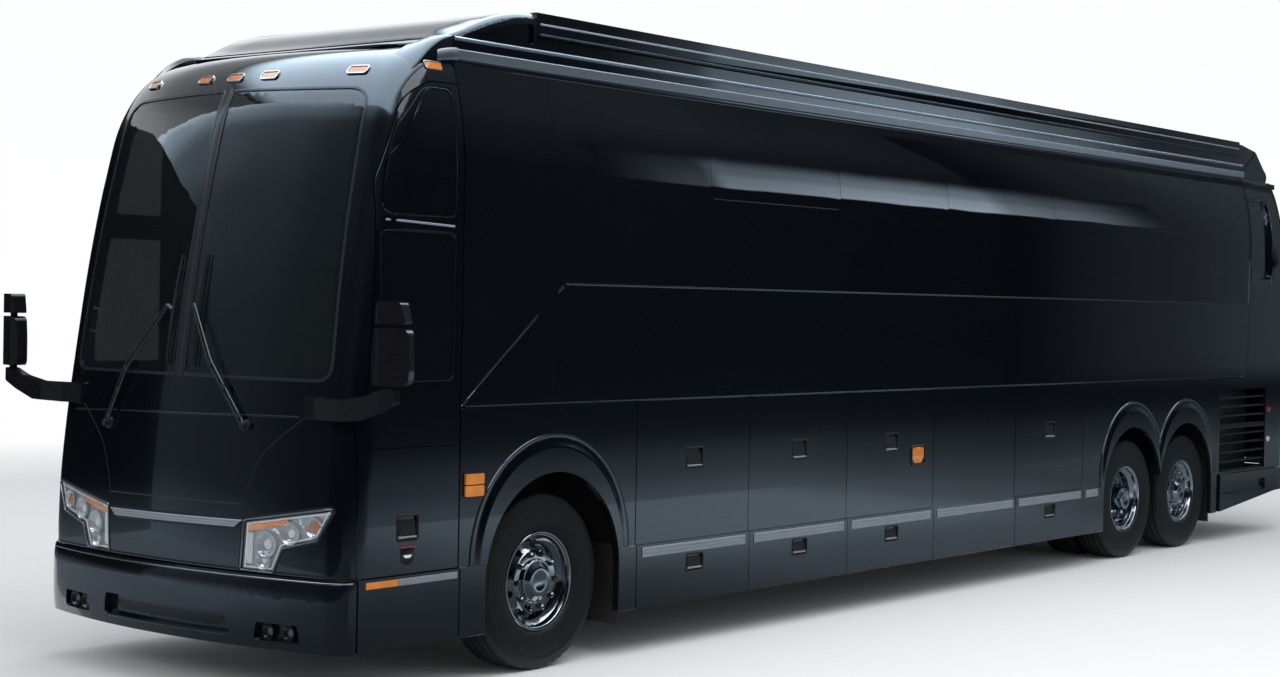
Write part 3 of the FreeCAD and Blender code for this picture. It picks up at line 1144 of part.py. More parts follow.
def build_mirrors():
    arm = prism_y(ARM_ELEVATION, AXLE_Y - 1800.0, AXLE_Y - 1500.0,
                  (0, 120.0, 80.0, 20.0, 12.0, 30.0, 120.0, 120.0, 0))
    arm = arm.common(prism_z(at_axle_plan(ARM_PLAN), 1500.0, 1800.0,
                             (0, 30.0, 100.0, 60.0, 12.0, 12.0, 60.0, 100.0, 30.0, 20.0, 0)))
    arm = arm.cut(nose_loft(-SEAT_GAP, CAB_Y))
    arm = max(arm.Solids, key=lambda s: s.Volume)
    low = mirror_head(((-105.0, 1750.0), (108.0, 1750.0), (118.0, 1830.0), (108.0, 2052.0), (-95.0, 2052.0),
                       (-118.0, 1850.0)), (40.0, 40.0, 60.0, 40.0, 40.0, 60.0))
    high = mirror_head(((-92.0, 2072.0), (100.0, 2072.0), (72.0, 2190.0), (-66.0, 2190.0)),
                       (12.0, 12.0, 24.0, 24.0))
    stem = box(-30.0, 30.0, -12.0, 12.0, 2045.0, 2080.0)
    heads = low.fuse([high, stem])
    heads.rotate(Vector(0, 0, 0), Vector(0, 0, 1), MIRROR_TURN)
    heads.translate(Vector(MIRROR_X, AXLE_Y + MIRROR_Y, 0))
    stalk = tube((MIRROR_X, AXLE_Y + MIRROR_Y, 1700.0), (MIRROR_X, AXLE_Y + MIRROR_Y, 1765.0), 24.0)
    # End plate where the arm meets the nose
    plate = nose_loft(-12.0, CAB_Y).cut(nose_loft(-SEAT_GAP, CAB_Y))
    plate = plate.common(prism_y([(965.0, 1538.0), (1075.0, 1538.0), (1075.0, 1668.0), (965.0, 1668.0)],
                                 AXLE_Y - 1900.0, AXLE_Y - 1500.0, 16.0))
    keep("mirrors", both(fuse_all([arm, heads, stalk, plate])))


def build_wipers():
    skin = nose_loft(-SEAT_GAP, CAB_Y)
    wipers = []
    for x, reach in ((-600.0, 330.0), (600.0, -330.0)):
        z = 1450.0
        y = nose_y(x, z)
        foot = tube((x, y - 45.0, z), (x, y + 40.0, z), 24.0).cut(skin)
        tip_x = x + reach
        tip_z = 2050.0
        base = Vector(x, y - 38.0, z)
        tip = Vector(tip_x, nose_y(tip_x, tip_z) - 34.0, tip_z)
        arm = Part.makeCylinder(9.0, (tip - base).Length, base, tip - base)
        blade_low = Vector(tip_x - reach * 0.12, nose_y(tip_x - reach * 0.12, 1800.0) - 22.0, 1800.0)
        blade_high = Vector(tip_x + reach * 0.12, nose_y(tip_x + reach * 0.12, 2400.0) - 22.0, 2400.0)
        blade = Part.makeCylinder(12.0, (blade_high - blade_low).Length, blade_low, blade_high - blade_low)
        clip = Part.makeSphere(16.0, tip + Vector(0, 8.0, 0))
        wipers.append(fuse_all([foot, arm, blade, clip]).cut(skin))
    keep("wipers", wipers)


def build_tail_lamps():
    start = FENDER_END_Y + 700.0
    layer = rear_loft(-10.0, start).cut(rear_loft(-SEAT_GAP, start - 50.0))
    lamps = []
    for i in range(4):
        z = 820.0 + i * 190.0
        lamps += both(layer.common(tube((1040.0, HALF_L - 300.0, z), (1040.0, HALF_L + 200.0, z), 62.0)))
    keep("tail_lamps", lamps)


def grip_ring(centre, axis, radius, thick, flats):
    """A ring with a section of a few flats, turned about an axis."""
    across = Vector(1, 0, 0)
    along = axis * (1.0 / axis.Length)
    points = []
    for i in range(flats + 1):
        a = 2.0 * math.pi * i / flats
        points.append(centre + across * (radius + thick * math.cos(a)) + along * (thick * math.sin(a)))
    return Part.Face(Part.makePolygon(points)).revolve(centre, axis, 360)


def build_cab_interior():
    hub = Vector(620.0, AXLE_Y - 950.0, 1790.0)
    axis = Vector(0, 0.55, 0.83).normalize()
    column_r = 35.0
    dash = prism_x([(AXLE_Y - 1560.0, CAB_FLOOR_Z + SEAT_GAP), (AXLE_Y - 1130.0, CAB_FLOOR_Z + SEAT_GAP),
                    (AXLE_Y - 1010.0, 1500.0), (AXLE_Y - 1020.0, 1690.0), (AXLE_Y - 1150.0, 1730.0),
                    (AXLE_Y - 1520.0, 1715.0)], -400.0, 1130.0, (0, 20.0, 60.0, 60.0, 60.0, 30.0))
    way = Part.makeCylinder(column_r + SEAT_GAP, 340.0, hub - axis * 340.0, axis)
    keep("dashboard", dash.cut(way))
    wheel_ring = grip_ring(hub, axis, 225.0, 16.0, 8)
    boss = Part.makeCylinder(55.0, 40.0, hub - axis * 20.0, axis)
    spokes = []
    for turn in (5.0, 175.0, 270.0):
        a = math.radians(turn)
        spoke = Vector(math.cos(a), -0.83 * math.sin(a), 0.55 * math.sin(a))
        spokes.append(Part.makeCylinder(12.0, 225.0, hub, spoke))
    column = Part.makeCylinder(column_r, 320.0, hub - axis * 320.0, axis)
    keep("steering_wheel", fuse_all([wheel_ring, boss, column] + spokes))
    seats = []
    for x in (620.0, -620.0):
        y = AXLE_Y - 430.0
        floor = CAB_FLOOR_Z + SEAT_GAP
        base = box(x - 170.0, x + 170.0, y - 180.0, y + 200.0, floor, floor + 330.0)
        cushion = box(x - 255.0, x + 255.0, y - 260.0, y + 250.0, floor + 330.0, floor + 470.0)
        back = prism_x([(y + 190.0, floor + 440.0), (y + 320.0, floor + 440.0), (y + 430.0, floor + 1130.0),
                        (y + 320.0, floor + 1150.0)], x - 250.0, x + 250.0, 25.0)
        head = prism_x([(y + 335.0, floor + 1120.0), (y + 430.0, floor + 1120.0), (y + 450.0, floor + 1330.0),
                        (y + 360.0, floor + 1340.0)], x - 140.0, x + 140.0, 25.0)
        seats.append(fuse_all([base, cushion, back, head]))
    keep("cab_seats", seats)


def build_mudflaps():
    flaps = []
    for y in (FRONT_FLAP_Y, REAR_FLAP_Y):
        flaps.append(box(930.0, SIDE_X - PANEL - 6.0, y, y + FLAP_THICK, 200.0, 700.0))
    keep("mudflaps", [m for f in flaps for m in both(f)])


def export_all():
    for name, solids in NODES.items():
        shape = solids[0] if len(solids) == 1 else Part.makeCompound(solids)
        shape.exportStep("parts/%s.step" % name)


def main():
    cab_panes = build_front()
    build_sides(cab_panes)
    build_lower_sides()
    build_floor()
    build_steps()
    build_chassis()
    build_roof()
    build_fairing()
    build_rear()
    build_bumpers()
    build_wheels()
    build_axles()
    build_engine()
    build_mirrors()
    build_wipers()
    build_tail_lamps()
    build_cab_interior()
    build_mudflaps()
    os.makedirs("parts", exist_ok=True)
    export_all()


main()
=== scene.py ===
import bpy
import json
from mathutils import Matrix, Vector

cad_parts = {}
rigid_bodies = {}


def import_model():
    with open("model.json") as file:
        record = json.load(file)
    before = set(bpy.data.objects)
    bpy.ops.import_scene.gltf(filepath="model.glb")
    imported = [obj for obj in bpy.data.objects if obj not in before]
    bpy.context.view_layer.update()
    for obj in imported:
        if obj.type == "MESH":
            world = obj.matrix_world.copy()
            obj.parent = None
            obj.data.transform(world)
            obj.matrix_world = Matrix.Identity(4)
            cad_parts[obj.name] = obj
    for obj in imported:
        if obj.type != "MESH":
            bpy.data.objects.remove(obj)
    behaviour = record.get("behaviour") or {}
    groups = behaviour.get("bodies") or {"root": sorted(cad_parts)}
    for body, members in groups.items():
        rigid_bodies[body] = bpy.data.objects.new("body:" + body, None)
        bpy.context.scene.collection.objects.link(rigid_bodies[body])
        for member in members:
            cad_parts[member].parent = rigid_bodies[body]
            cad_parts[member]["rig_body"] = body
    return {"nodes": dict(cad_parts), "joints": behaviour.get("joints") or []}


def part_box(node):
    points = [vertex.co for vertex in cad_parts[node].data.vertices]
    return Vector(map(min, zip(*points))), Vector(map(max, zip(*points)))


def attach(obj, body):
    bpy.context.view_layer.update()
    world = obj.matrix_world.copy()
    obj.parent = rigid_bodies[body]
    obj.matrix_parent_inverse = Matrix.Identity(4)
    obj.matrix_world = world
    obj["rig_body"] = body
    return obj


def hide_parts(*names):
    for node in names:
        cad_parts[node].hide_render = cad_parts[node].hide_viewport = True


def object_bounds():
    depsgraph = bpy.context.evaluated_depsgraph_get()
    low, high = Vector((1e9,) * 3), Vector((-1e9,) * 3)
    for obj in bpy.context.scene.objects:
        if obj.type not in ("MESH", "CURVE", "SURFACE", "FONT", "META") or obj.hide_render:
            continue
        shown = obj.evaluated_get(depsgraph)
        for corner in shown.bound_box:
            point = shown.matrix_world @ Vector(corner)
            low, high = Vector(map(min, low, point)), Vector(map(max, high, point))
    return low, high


bl_info = {
    "name": "Coach bus",
    "version": (1, 0, 0),
    "blender": (4, 5, 0),
    "location": "3D View > Sidebar > Coach",
    "description": "Paint, glass, wheels, lamps, trim and cab fittings of a three-axle coach",
    "category": "Add Mesh",
}

import json
import math

import bmesh
import bpy
from bpy.props import FloatProperty, FloatVectorProperty, IntProperty, PointerProperty
from mathutils import Matrix, Vector
from mathutils.bvhtree import BVHTree

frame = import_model()
CAD_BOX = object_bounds()
NODES = frame["nodes"]
JOINTS = {joint["name"]: joint for joint in frame["joints"]}

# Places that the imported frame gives
AXLES = {axle: Vector(JOINTS[axle + "_spin_left"]["pos_m"]) for axle in ("front", "drive", "tag")}
TYRE_R = AXLES["front"].z
SIDE_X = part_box("side_walls")[1].x
SKIRT_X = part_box("lower_side_panels")[1].x
NOSE_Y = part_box("front_cap")[0].y
TAIL_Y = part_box("engine_door")[1].y
ROOF_Z = CAD_BOX[1].z
SIDES = (("left", 1.0), ("right", -1.0))
UP = Vector((0, 0, 1))
AHEAD = Vector((0, -1, 0))

# How close points are one point, in metres
MERGE = 1e-5


# Mesh building

class Form:
    """Points and faces gathered for one mesh."""

    def __init__(self):
        self.points = []
        self.faces = []

    def add(self, points, faces):
        start = len(self.points)
        self.points += [Vector(p) for p in points]
        self.faces += [[start + i for i in face] for face in faces]
        return self

    def join(self, other):
        return self.add(other.points, other.faces)

    def rows(self, rows, closed=True, ends=True, loop=False):
        """Skins rows of points. closed joins each row's last point to its first."""
        width = len(rows[0])
        faces = []
        last = len(rows) if loop else len(rows) - 1
        for i in range(last):
            k = (i + 1) % len(rows)
            for j in range(width if closed else width - 1):
                n = (j + 1) % width
                faces.append((i * width + j, i * width + n, k * width + n, k * width + j))
        if ends and closed and not loop:
            faces.append(tuple(reversed(range(width))))
            faces.append(tuple(range((len(rows) - 1) * width, len(rows) * width)))
        return self.add([p for row in rows for p in row], faces)

    def prism(self, outline, place, near, far):
        """An outline of (u, v) between two depths. place turns (u, v, depth) into a point."""
        return self.rows([[place(u, v, w) for u, v in outline] for w in (near, far)])

    def lathe(self, profile, centre, segments, loop=True, axis=Vector((1, 0, 0)), side=Vector((0, 1, 0))):
        """Turns a profile of (along, r) about an axis through centre. r may be a function of the turn."""
        across = axis.cross(side)
        rows = []
        for i in range(segments):
            angle = 2.0 * math.pi * i / segments
            row = []
            for along, r in profile:
                reach = r(i) if callable(r) else r
                row.append(centre + axis * along + side * (reach * math.cos(angle))
                           + across * (reach * math.sin(angle)))
            rows.append(row)
        return self.rows(rows, closed=loop, ends=False, loop=True)

    def tube(self, path, radius, sides=12, squeeze=1.0, up=Vector((0, 0, 1))):
        """Sweeps a round or oval section along a path. radius may be a list."""
        path = [Vector(p) for p in path]
        rows = []
        for i, here in enumerate(path):
            run = (path[min(i + 1, len(path) - 1)] - path[max(i - 1, 0)]).normalized()
            across = run.cross(up).normalized()
            rise = across.cross(run).normalized()
            r = radius[i] if isinstance(radius, (list, tuple)) else radius
            row = []
            for k in range(sides):
                a = 2.0 * math.pi * k / sides
                row.append(here + across * (math.cos(a) * r * squeeze) + rise * (math.sin(a) * r))
            rows.append(row)
        return self.rows(rows)

    def reflection(self):
        points = [Vector((-p.x, p.y, p.z)) for p in self.points]
        return points, [list(reversed(face)) for face in self.faces]

    def mirrored(self):
        """Adds the same shape on the other side of the coach."""
        return self.add(*self.reflection())

    def flipped(self):
        """The same shape for the right side only."""
        self.points, self.faces = self.reflection()
        return self

    def object(self, name):
        mesh = bpy.data.meshes.new(name)
        mesh.from_pydata(self.points, [], self.faces)
        obj = bpy.data.objects.new(name, mesh)
        bpy.context.scene.collection.objects.link(obj)
        return obj

    def piece(self, name, look, body="coach", slot=None, replaces=(), smooth=50.0):
        obj = self.object(name)
        tidy_mesh(obj.data)
        return finish_piece(obj, look, body, slot, replaces, smooth)

    def pair(self, name, look, **more):
        """One piece for both sides of the coach."""
        return self.mirrored().piece(name, look, **more)


def tidy_mesh(mesh):
    """Merges doubles and turns every face outwards."""
    bm = bmesh.new()
    bm.from_mesh(mesh)
    bmesh.ops.remove_doubles(bm, verts=bm.verts, dist=MERGE)
    bmesh.ops.recalc_face_normals(bm, faces=bm.faces)
    bm.to_mesh(mesh)
    bm.free()


def shade(mesh, degrees):
    mesh.shade_smooth()
    mesh.set_sharp_from_angle(angle=math.radians(degrees))


def finish_piece(obj, look, body="coach", slot=None, replaces=(), smooth=50.0, bevel=0.0):
    """Gives a piece its finish, shading, edge and body."""
    obj.data.materials.clear()
    obj.data.materials.append(finish(look))
    shade(obj.data, smooth)
    if bevel > 0:
        edge = obj.modifiers.new("edge", "BEVEL")
        edge.width = bevel
        edge.segments = 2
        edge.limit_method = "ANGLE"
        edge.angle_limit = math.radians(35.0)
        edge.harden_normals = True
    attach(obj, body)
    if replaces:
        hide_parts(*replaces)
    return obj


def merged_mesh(node, name, flat=False):
    """A copy of a CAD node's mesh whose loose triangles share their points."""
    bm = bmesh.new()
    bm.from_mesh(NODES[node].data)
    bmesh.ops.remove_doubles(bm, verts=bm.verts, dist=MERGE)
    if flat:
        bmesh.ops.dissolve_limit(bm, angle_limit=math.radians(FLAT_ANGLE), verts=bm.verts, edges=bm.edges)
    mesh = bpy.data.meshes.new(name)
    bm.to_mesh(mesh)
    bm.free()
    return mesh


# How the shading of coarse curved shells is evened out
MEAN_RINGS = (0.35, 0.7, 1.0)
MEAN_LIFT = 0.015
MEAN_ALIKE = 0.93
MEAN_ENOUGH = 2.5

# Facets that turn less than this, in degrees, are one flat face
FLAT_ANGLE = 0.4


def facet_mean(tree, place, facing, otherwise, reach):
    """The mean facing of the surface round a point, without the facets beyond an edge."""
    side = facing.orthogonal().normalized()
    across = facing.cross(side)
    total = Vector()
    for share in MEAN_RINGS:
        for k in range(8):
            angle = math.pi * (k + share) / 4.0
            out = side * math.cos(angle) + across * math.sin(angle)
            spot = place + out * (reach * share) + facing * MEAN_LIFT
            hit, normal, _, _ = tree.ray_cast(spot, -facing, 2.0 * MEAN_LIFT)
            if hit is not None and normal.dot(facing) > MEAN_ALIKE:
                total += normal
    return total.normalized() if total.length > MEAN_ENOUGH else otherwise


def even_normals(mesh, reach):
    """Evens out the shading of a curved shell whose facets are coarse."""
    tree = BVHTree.FromPolygons([v.co for v in mesh.vertices], [p.vertices for p in mesh.polygons])
    found = {}
    corners = [corner.vector.copy() for corner in mesh.corner_normals]
    for face in mesh.polygons:
        facing = face.normal
        for i in face.loop_indices:
            vertex = mesh.loops[i].vertex_index
            key = (vertex, round(facing.x, 1), round(facing.y, 1), round(facing.z, 1))
            if key not in found:
                found[key] = facet_mean(tree, mesh.vertices[vertex].co, facing, corners[i], reach)
            corners[i] = found[key]
    mesh.normals_split_custom_set(corners)


def cut_across(bm, axis, place):
    """Cuts a mesh where an axis reaches a place."""
    spot = [0.0, 0.0, 0.0]
    spot[axis] = place
    way = [0.0, 0.0, 0.0]
    way[axis] = 1.0
    geom = bm.verts[:] + bm.edges[:] + bm.faces[:]
    bmesh.ops.bisect_plane(bm, geom=geom, dist=MERGE, plane_co=spot, plane_no=way)


def sliced(mesh, pitches):
    """Cuts a mesh into bands across each axis that has a pitch, so that its shading can follow its curve."""
    bm = bmesh.new()
    bm.from_mesh(mesh)
    for axis, pitch in enumerate(pitches):
        if pitch:
            places = [v.co[axis] for v in bm.verts]
            for i in range(1, int((max(places) - min(places)) / pitch) + 1):
                cut_across(bm, axis, min(places) + pitch * i)
    bm.to_mesh(mesh)
    bm.free()


def skin_copy(node, name, look, slot=None, smooth=40.0, bevel=0.0, flat=False, even=0.0, pitches=()):
    """A smooth copy of a CAD node that stands for it."""
    mesh = merged_mesh(node, name, flat)
    sliced(mesh, pitches)
    obj = bpy.data.objects.new(name, mesh)
    bpy.context.scene.collection.objects.link(obj)
    finish_piece(obj, look, body_of(node), slot, (node,), smooth, bevel)
    if even:
        even_normals(obj.data, even)
    else:
        weights = obj.modifiers.new("weights", "WEIGHTED_NORMAL")
        weights.keep_sharp = True
    return obj


def body_of(node):
    return NODES[node]["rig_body"]


class Skin:
    """The CAD's outer surface, for setting details on it."""

    def __init__(self, *nodes):
        points = []
        faces = []
        for node in nodes:
            mesh = NODES[node].data
            start = len(points)
            points += [v.co.copy() for v in mesh.vertices]
            faces += [[start + i for i in face.vertices] for face in mesh.polygons]
        self.tree = BVHTree.FromPolygons(points, faces)

    def cast(self, origin, direction):
        place, normal, _, _ = self.tree.ray_cast(Vector(origin), Vector(direction))
        if place is None:
            raise RuntimeError("no surface below %s" % (origin,))
        return place, normal

    def front(self, x, z):
        return self.cast((x, NOSE_Y - 1.0, z), (0, 1, 0))

    def left(self, y, z):
        return self.cast((SIDE_X + 1.0, y, z), (-1, 0, 0))

    def rear(self, x, z):
        return self.cast((x, TAIL_Y + 1.0, z), (0, -1, 0))


def dense(path, step, closed=False):
    """Adds points along a polyline so that it follows a curved surface."""
    points = [Vector(p) for p in path]
    if closed:
        points.append(points[0])
    out = []
    for a, b in zip(points, points[1:]):
        count = max(1, int(math.ceil((b - a).length / step)))
        out += [a.lerp(b, i / count) for i in range(count)]
    if not closed:
        out.append(points[-1])
    return out


def bead(form, path, cast, section, step=0.04, closed=False):
    """Sweeps a section of (across, height), or a strip of a half width and height, along a surface."""
    if not isinstance(section[0], tuple):
        section = strip_section(*section)
    path = dense(path, step, closed)
    spots = [cast(p[0], p[1]) for p in path]
    count = len(spots)
    rows = []
    for i in range(count):
        before = spots[i - 1][0] if closed or i > 0 else spots[i][0]
        after = spots[(i + 1) % count][0] if closed or i < count - 1 else spots[i][0]
        place, normal = spots[i]
        across = normal.cross((after - before).normalized()).normalized()
        rows.append([place + across * a + normal * h for a, h in section])
    return form.rows(rows, closed=True, ends=not closed, loop=closed)


def rounded(outline, radius, steps=5):
    """An outline with its corners rounded."""
    points = [Vector(p) for p in outline]
    out = []
    for i, here in enumerate(points):
        before = (points[i - 1] - here)
        after = (points[(i + 1) % len(points)] - here)
        r = radius[i] if isinstance(radius, (list, tuple)) else radius
        if r <= 0:
            out.append(here)
            continue
        half = before.angle(after) / 2.0
        reach = min(r / math.tan(half), before.length * 0.49, after.length * 0.49)
        start = here + before.normalized() * reach
        stop = here + after.normalized() * reach
        for k in range(steps + 1):
            t = k / steps
            out.append(start * (1 - t) ** 2 + here * 2 * t * (1 - t) + stop * t * t)
    return out


def grown(outline, by):
    """An outline moved outwards by a distance, or inwards where it is negative."""
    points = [Vector((p[0], p[1])) for p in outline]
    turn = sum(a.x * b.y - b.x * a.y for a, b in zip(points, points[1:] + points[:1]))
    by = math.copysign(by, by * turn)
    out = []
    for i, here in enumerate(points):
        into = (here - points[i - 1]).normalized()
        onward = (points[(i + 1) % len(points)] - here).normalized()
        sides = Vector((into.y + onward.y, -into.x - onward.x))
        out.append(here + sides * (by / max(0.3, 1.0 + into.dot(onward))))
    return out


def patch(outline, cast, lift, step=0.05, edge=0.006, sunk=-0.002, thick=0.0):
    """A raised or sunk panel that follows a surface inside an outline. A thick one is closed behind."""
    bm = bmesh.new()
    face = bm.faces.new([bm.verts.new((p[0], p[1], 0.0)) for p in outline])
    bmesh.ops.inset_region(bm, faces=[face], thickness=edge, use_even_offset=True)
    for axis in (0, 1):
        places = Vector([p[axis] for p in outline])
        low, high = min(places), max(places)
        count = int((high - low) / step)
        for i in range(1, count + 1):
            cut_across(bm, axis, low + (high - low) * i / (count + 1))
    boundary = {v for e in bm.edges if e.is_boundary for v in e.verts}
    bm.verts.index_update()
    behind = []
    for v in bm.verts:
        place, normal = cast(v.co.x, v.co.y)
        v.co = place + normal * (sunk if v in boundary else lift)
        behind.append(v.co - normal * thick)
    faces = [[v.index for v in f.verts] for f in bm.faces]
    form = Form().add([v.co.copy() for v in bm.verts], faces)
    if thick:
        count = len(behind)
        form.points += behind
        form.faces += [[i + count for i in reversed(face)] for face in faces]
        for e in bm.edges:
            if e.is_boundary:
                a, b = (v.index for v in e.verts)
                form.faces.append([a, b, b + count, a + count])
    bm.free()
    return form


# Geometry Nodes that repeat a piece

def add_node(tree, kind, inputs=None, **settings):
    """A node with its settings. Each input takes a value or another node's socket."""
    node = tree.nodes.new(kind)
    for name, value in settings.items():
        setattr(node, name, value)
    for name, value in (inputs or {}).items():
        if isinstance(value, bpy.types.NodeSocket):
            tree.links.new(value, node.inputs[name])
        else:
            node.inputs[name].default_value = value
    return node


def maths(tree, operation, a, b):
    """A Math node on two sockets or numbers."""
    return add_node(tree, "ShaderNodeMath", {0: a, 1: b}, operation=operation).outputs["Value"]


def new_tree(name, sockets):
    """A tree that repeats a piece, with the sockets that it is given and its way out."""
    tree = bpy.data.node_groups.new(name, "GeometryNodeTree")
    tree.is_modifier = True
    tree.interface.new_socket("Geometry", in_out="INPUT", socket_type="NodeSocketGeometry")
    for label, kind, default in (("Piece", "Object", None), ("Finish", "Material", None)) + sockets:
        socket = tree.interface.new_socket(label, in_out="INPUT", socket_type="NodeSocket" + kind)
        if default is not None:
            socket.default_value = default
    tree.interface.new_socket("Geometry", in_out="OUTPUT", socket_type="NodeSocketGeometry")
    return tree, tree.nodes.new("NodeGroupInput").outputs, tree.nodes.new("NodeGroupOutput")


def close_tree(tree, given, out, **places):
    """Puts the piece on each point, makes it real and gives it its finish."""
    info = add_node(tree, "GeometryNodeObjectInfo", {"Object": given["Piece"]}, transform_space="ORIGINAL")
    copies = add_node(tree, "GeometryNodeInstanceOnPoints", {"Instance": info.outputs["Geometry"], **places})
    real = add_node(tree, "GeometryNodeRealizeInstances", {"Geometry": copies.outputs["Instances"]})
    coat = add_node(tree, "GeometryNodeSetMaterial", {
        "Geometry": real.outputs["Geometry"], "Material": given["Finish"]})
    tree.links.new(coat.outputs["Geometry"], out.inputs["Geometry"])


def ring_tree():
    """Copies of a piece on a circle about an axis along X, each turned with its place."""
    tree, given, out = new_tree("ring of pieces", (
        ("Count", "Int", 10), ("Circle Radius", "Float", 0.1675), ("Centre", "Vector", None)))
    line = add_node(tree, "GeometryNodeMeshLine", {"Offset": (0.0, 0.0, 0.0), "Count": given["Count"]})
    index = add_node(tree, "GeometryNodeInputIndex").outputs["Index"]
    angle = maths(tree, "DIVIDE", maths(tree, "MULTIPLY", index, 2.0 * math.pi), given["Count"])
    spot = add_node(tree, "ShaderNodeCombineXYZ", {
        axis: maths(tree, "MULTIPLY", maths(tree, operation, angle, 0.0), given["Circle Radius"])
        for axis, operation in (("Y", "COSINE"), ("Z", "SINE"))})
    shift = add_node(tree, "ShaderNodeVectorMath", {0: spot.outputs["Vector"], 1: given["Centre"]})
    place = add_node(tree, "GeometryNodeSetPosition", {
        "Geometry": line.outputs["Mesh"], "Position": shift.outputs["Vector"]})
    turn = add_node(tree, "ShaderNodeCombineXYZ", {"X": angle})
    rotation = add_node(tree, "FunctionNodeEulerToRotation", {"Euler": turn.outputs["Vector"]})
    close_tree(tree, given, out, Points=place.outputs["Geometry"], Rotation=rotation.outputs["Rotation"])
    return tree


def row_tree():
    """Copies of a piece along a straight line."""
    tree, given, out = new_tree("row of pieces", (
        ("Count", "Int", 8), ("Start", "Vector", None), ("Pitch", "Vector", None)))
    line = add_node(tree, "GeometryNodeMeshLine", {
        "Count": given["Count"], "Start Location": given["Start"], "Offset": given["Pitch"]}, mode="OFFSET")
    close_tree(tree, given, out, Points=line.outputs["Mesh"])
    return tree


def applied(obj, modifier):
    """The mesh that a modifier makes. The modifier is taken off."""
    graph = bpy.context.evaluated_depsgraph_get()
    mesh = bpy.data.meshes.new_from_object(obj.evaluated_get(graph), depsgraph=graph)
    obj.modifiers.remove(modifier)
    return mesh


def repeated(tree, name, sample, look, **values):
    """Runs a tree once on a sample and gives its result as a plain mesh."""
    sample = sample.object("sample")
    tidy_mesh(sample.data)
    host = Form().add([(0, 0, 0)], []).object(name)
    run = host.modifiers.new("repeat", "NODES")
    run.node_group = tree
    values.update(Piece=sample, Finish=finish(look))
    for item in tree.interface.items_tree:
        if item.item_type == "SOCKET" and item.in_out == "INPUT" and item.name in values:
            run[item.identifier] = values[item.name]
    bpy.context.view_layer.update()
    host.data = applied(host, run)
    bpy.data.objects.remove(sample)
    return host


# Finishes

class Finish:
    """One node-based material. Patterns read object coordinates."""

    def __init__(self, name, colour, rough=0.4, metal=0.0):
        self.material = bpy.data.materials.new(name)
        self.material.use_nodes = True
        self.tree = self.material.node_tree
        self.shader = self.tree.nodes["Principled BSDF"]
        self.set("Base Color", (*colour[:3], 1.0)).set("Roughness", rough).set("Metallic", metal)
        self.spots = self.add("ShaderNodeTexCoord").outputs["Object"]
        self.bumps = None

    def add(self, kind, inputs=None, **settings):
        return add_node(self.tree, kind, inputs, **settings)

    def set(self, socket, value):
        self.shader.inputs[socket].default_value = value
        return self

    def link(self, a, b):
        self.tree.links.new(a, b)

    def noise(self, scale, detail=3.0, stretch=(1.0, 1.0, 1.0)):
        spots = self.add("ShaderNodeMapping", {"Scale": stretch, "Vector": self.spots}).outputs["Vector"]
        noise = self.add("ShaderNodeTexNoise", {"Scale": scale, "Detail": detail, "Vector": spots})
        return noise.outputs["Fac"]

    def cells(self, scale):
        return self.add("ShaderNodeTexVoronoi", {"Scale": scale, "Vector": self.spots}).outputs["Distance"]

    def span(self, value, low, high, to_low, to_high):
        return self.add("ShaderNodeMapRange", {"From Min": low, "From Max": high, "To Min": to_low,
                                               "To Max": to_high, "Value": value}).outputs["Result"]

    def product(self, a, b):
        return maths(self.tree, "MULTIPLY", a, b)

    def height(self):
        return self.add("ShaderNodeSeparateXYZ", {"Vector": self.spots}).outputs["Z"]

    def blend_colour(self, mask, other):
        """Mixes another colour into the base colour where the mask says."""
        socket = self.shader.inputs["Base Color"]
        base = socket.links[0].from_socket if socket.is_linked else tuple(socket.default_value)
        mix = self.add("ShaderNodeMix", {"A": base, "B": (*other[:3], 1.0), "Factor": mask}, data_type="RGBA")
        self.link(mix.outputs["Result"], socket)
        return self

    def vary_rough(self, mask, low, high):
        self.link(self.span(mask, 0.0, 1.0, low, high), self.shader.inputs["Roughness"])
        return self

    def bump(self, value, strength, distance):
        inputs = {"Strength": strength, "Distance": distance, "Height": value}
        if self.bumps:
            inputs["Normal"] = self.bumps
        self.bumps = self.add("ShaderNodeBump", inputs).outputs["Normal"]
        self.link(self.bumps, self.shader.inputs["Normal"])
        return self


FINISHES = {}


def finish(name):
    """Makes a named material once."""
    if name not in FINISHES:
        FINISHES[name] = FINISH_MAKERS[name](bpy.context.scene.coach_finish)
    return FINISHES[name]


def paint_finish(wish):
    coat = Finish("black_paint", wish.paint, 0.16)
    coat.set("Coat Weight", 1.0).set("Coat Roughness", 0.02).set("Specular Tint", (0.72, 0.85, 1.0, 1.0))
    film = coat.product(coat.noise(1.3, 5.0), coat.span(coat.height(), 0.95, 0.25, 0.0, 0.22))
    coat.blend_colour(film, wish.road_film)
    coat.vary_rough(film, 0.16, 0.55)
    coat.bump(coat.noise(420.0, 1.0), 0.012, 0.0004)
    return coat.material


def band_glass_finish(wish):
    glass = Finish("dark_glass", wish.band_glass, 0.015)
    glass.set("Specular Tint", (0.78, 0.88, 1.0, 1.0)).set("Coat Weight", 0.6).set("Coat Roughness", 0.01)
    glass.blend_colour(glass.noise(0.6, 2.0), (0.004, 0.005, 0.008))
    glass.bump(glass.noise(2.2, 1.0), 0.03, 0.002)
    return glass.material


def clear_glass_finish(wish):
    glass = Finish("windscreen_glass", (0.006, 0.008, 0.010), 0.01)
    glass.set("Alpha", 0.66).set("Specular Tint", (0.8, 0.9, 1.0, 1.0)).set("Coat Weight", 1.0)
    glass.set("Coat Roughness", 0.01)
    glass.blend_colour(glass.noise(0.8, 2.0), (0.012, 0.016, 0.018))
    return glass.material


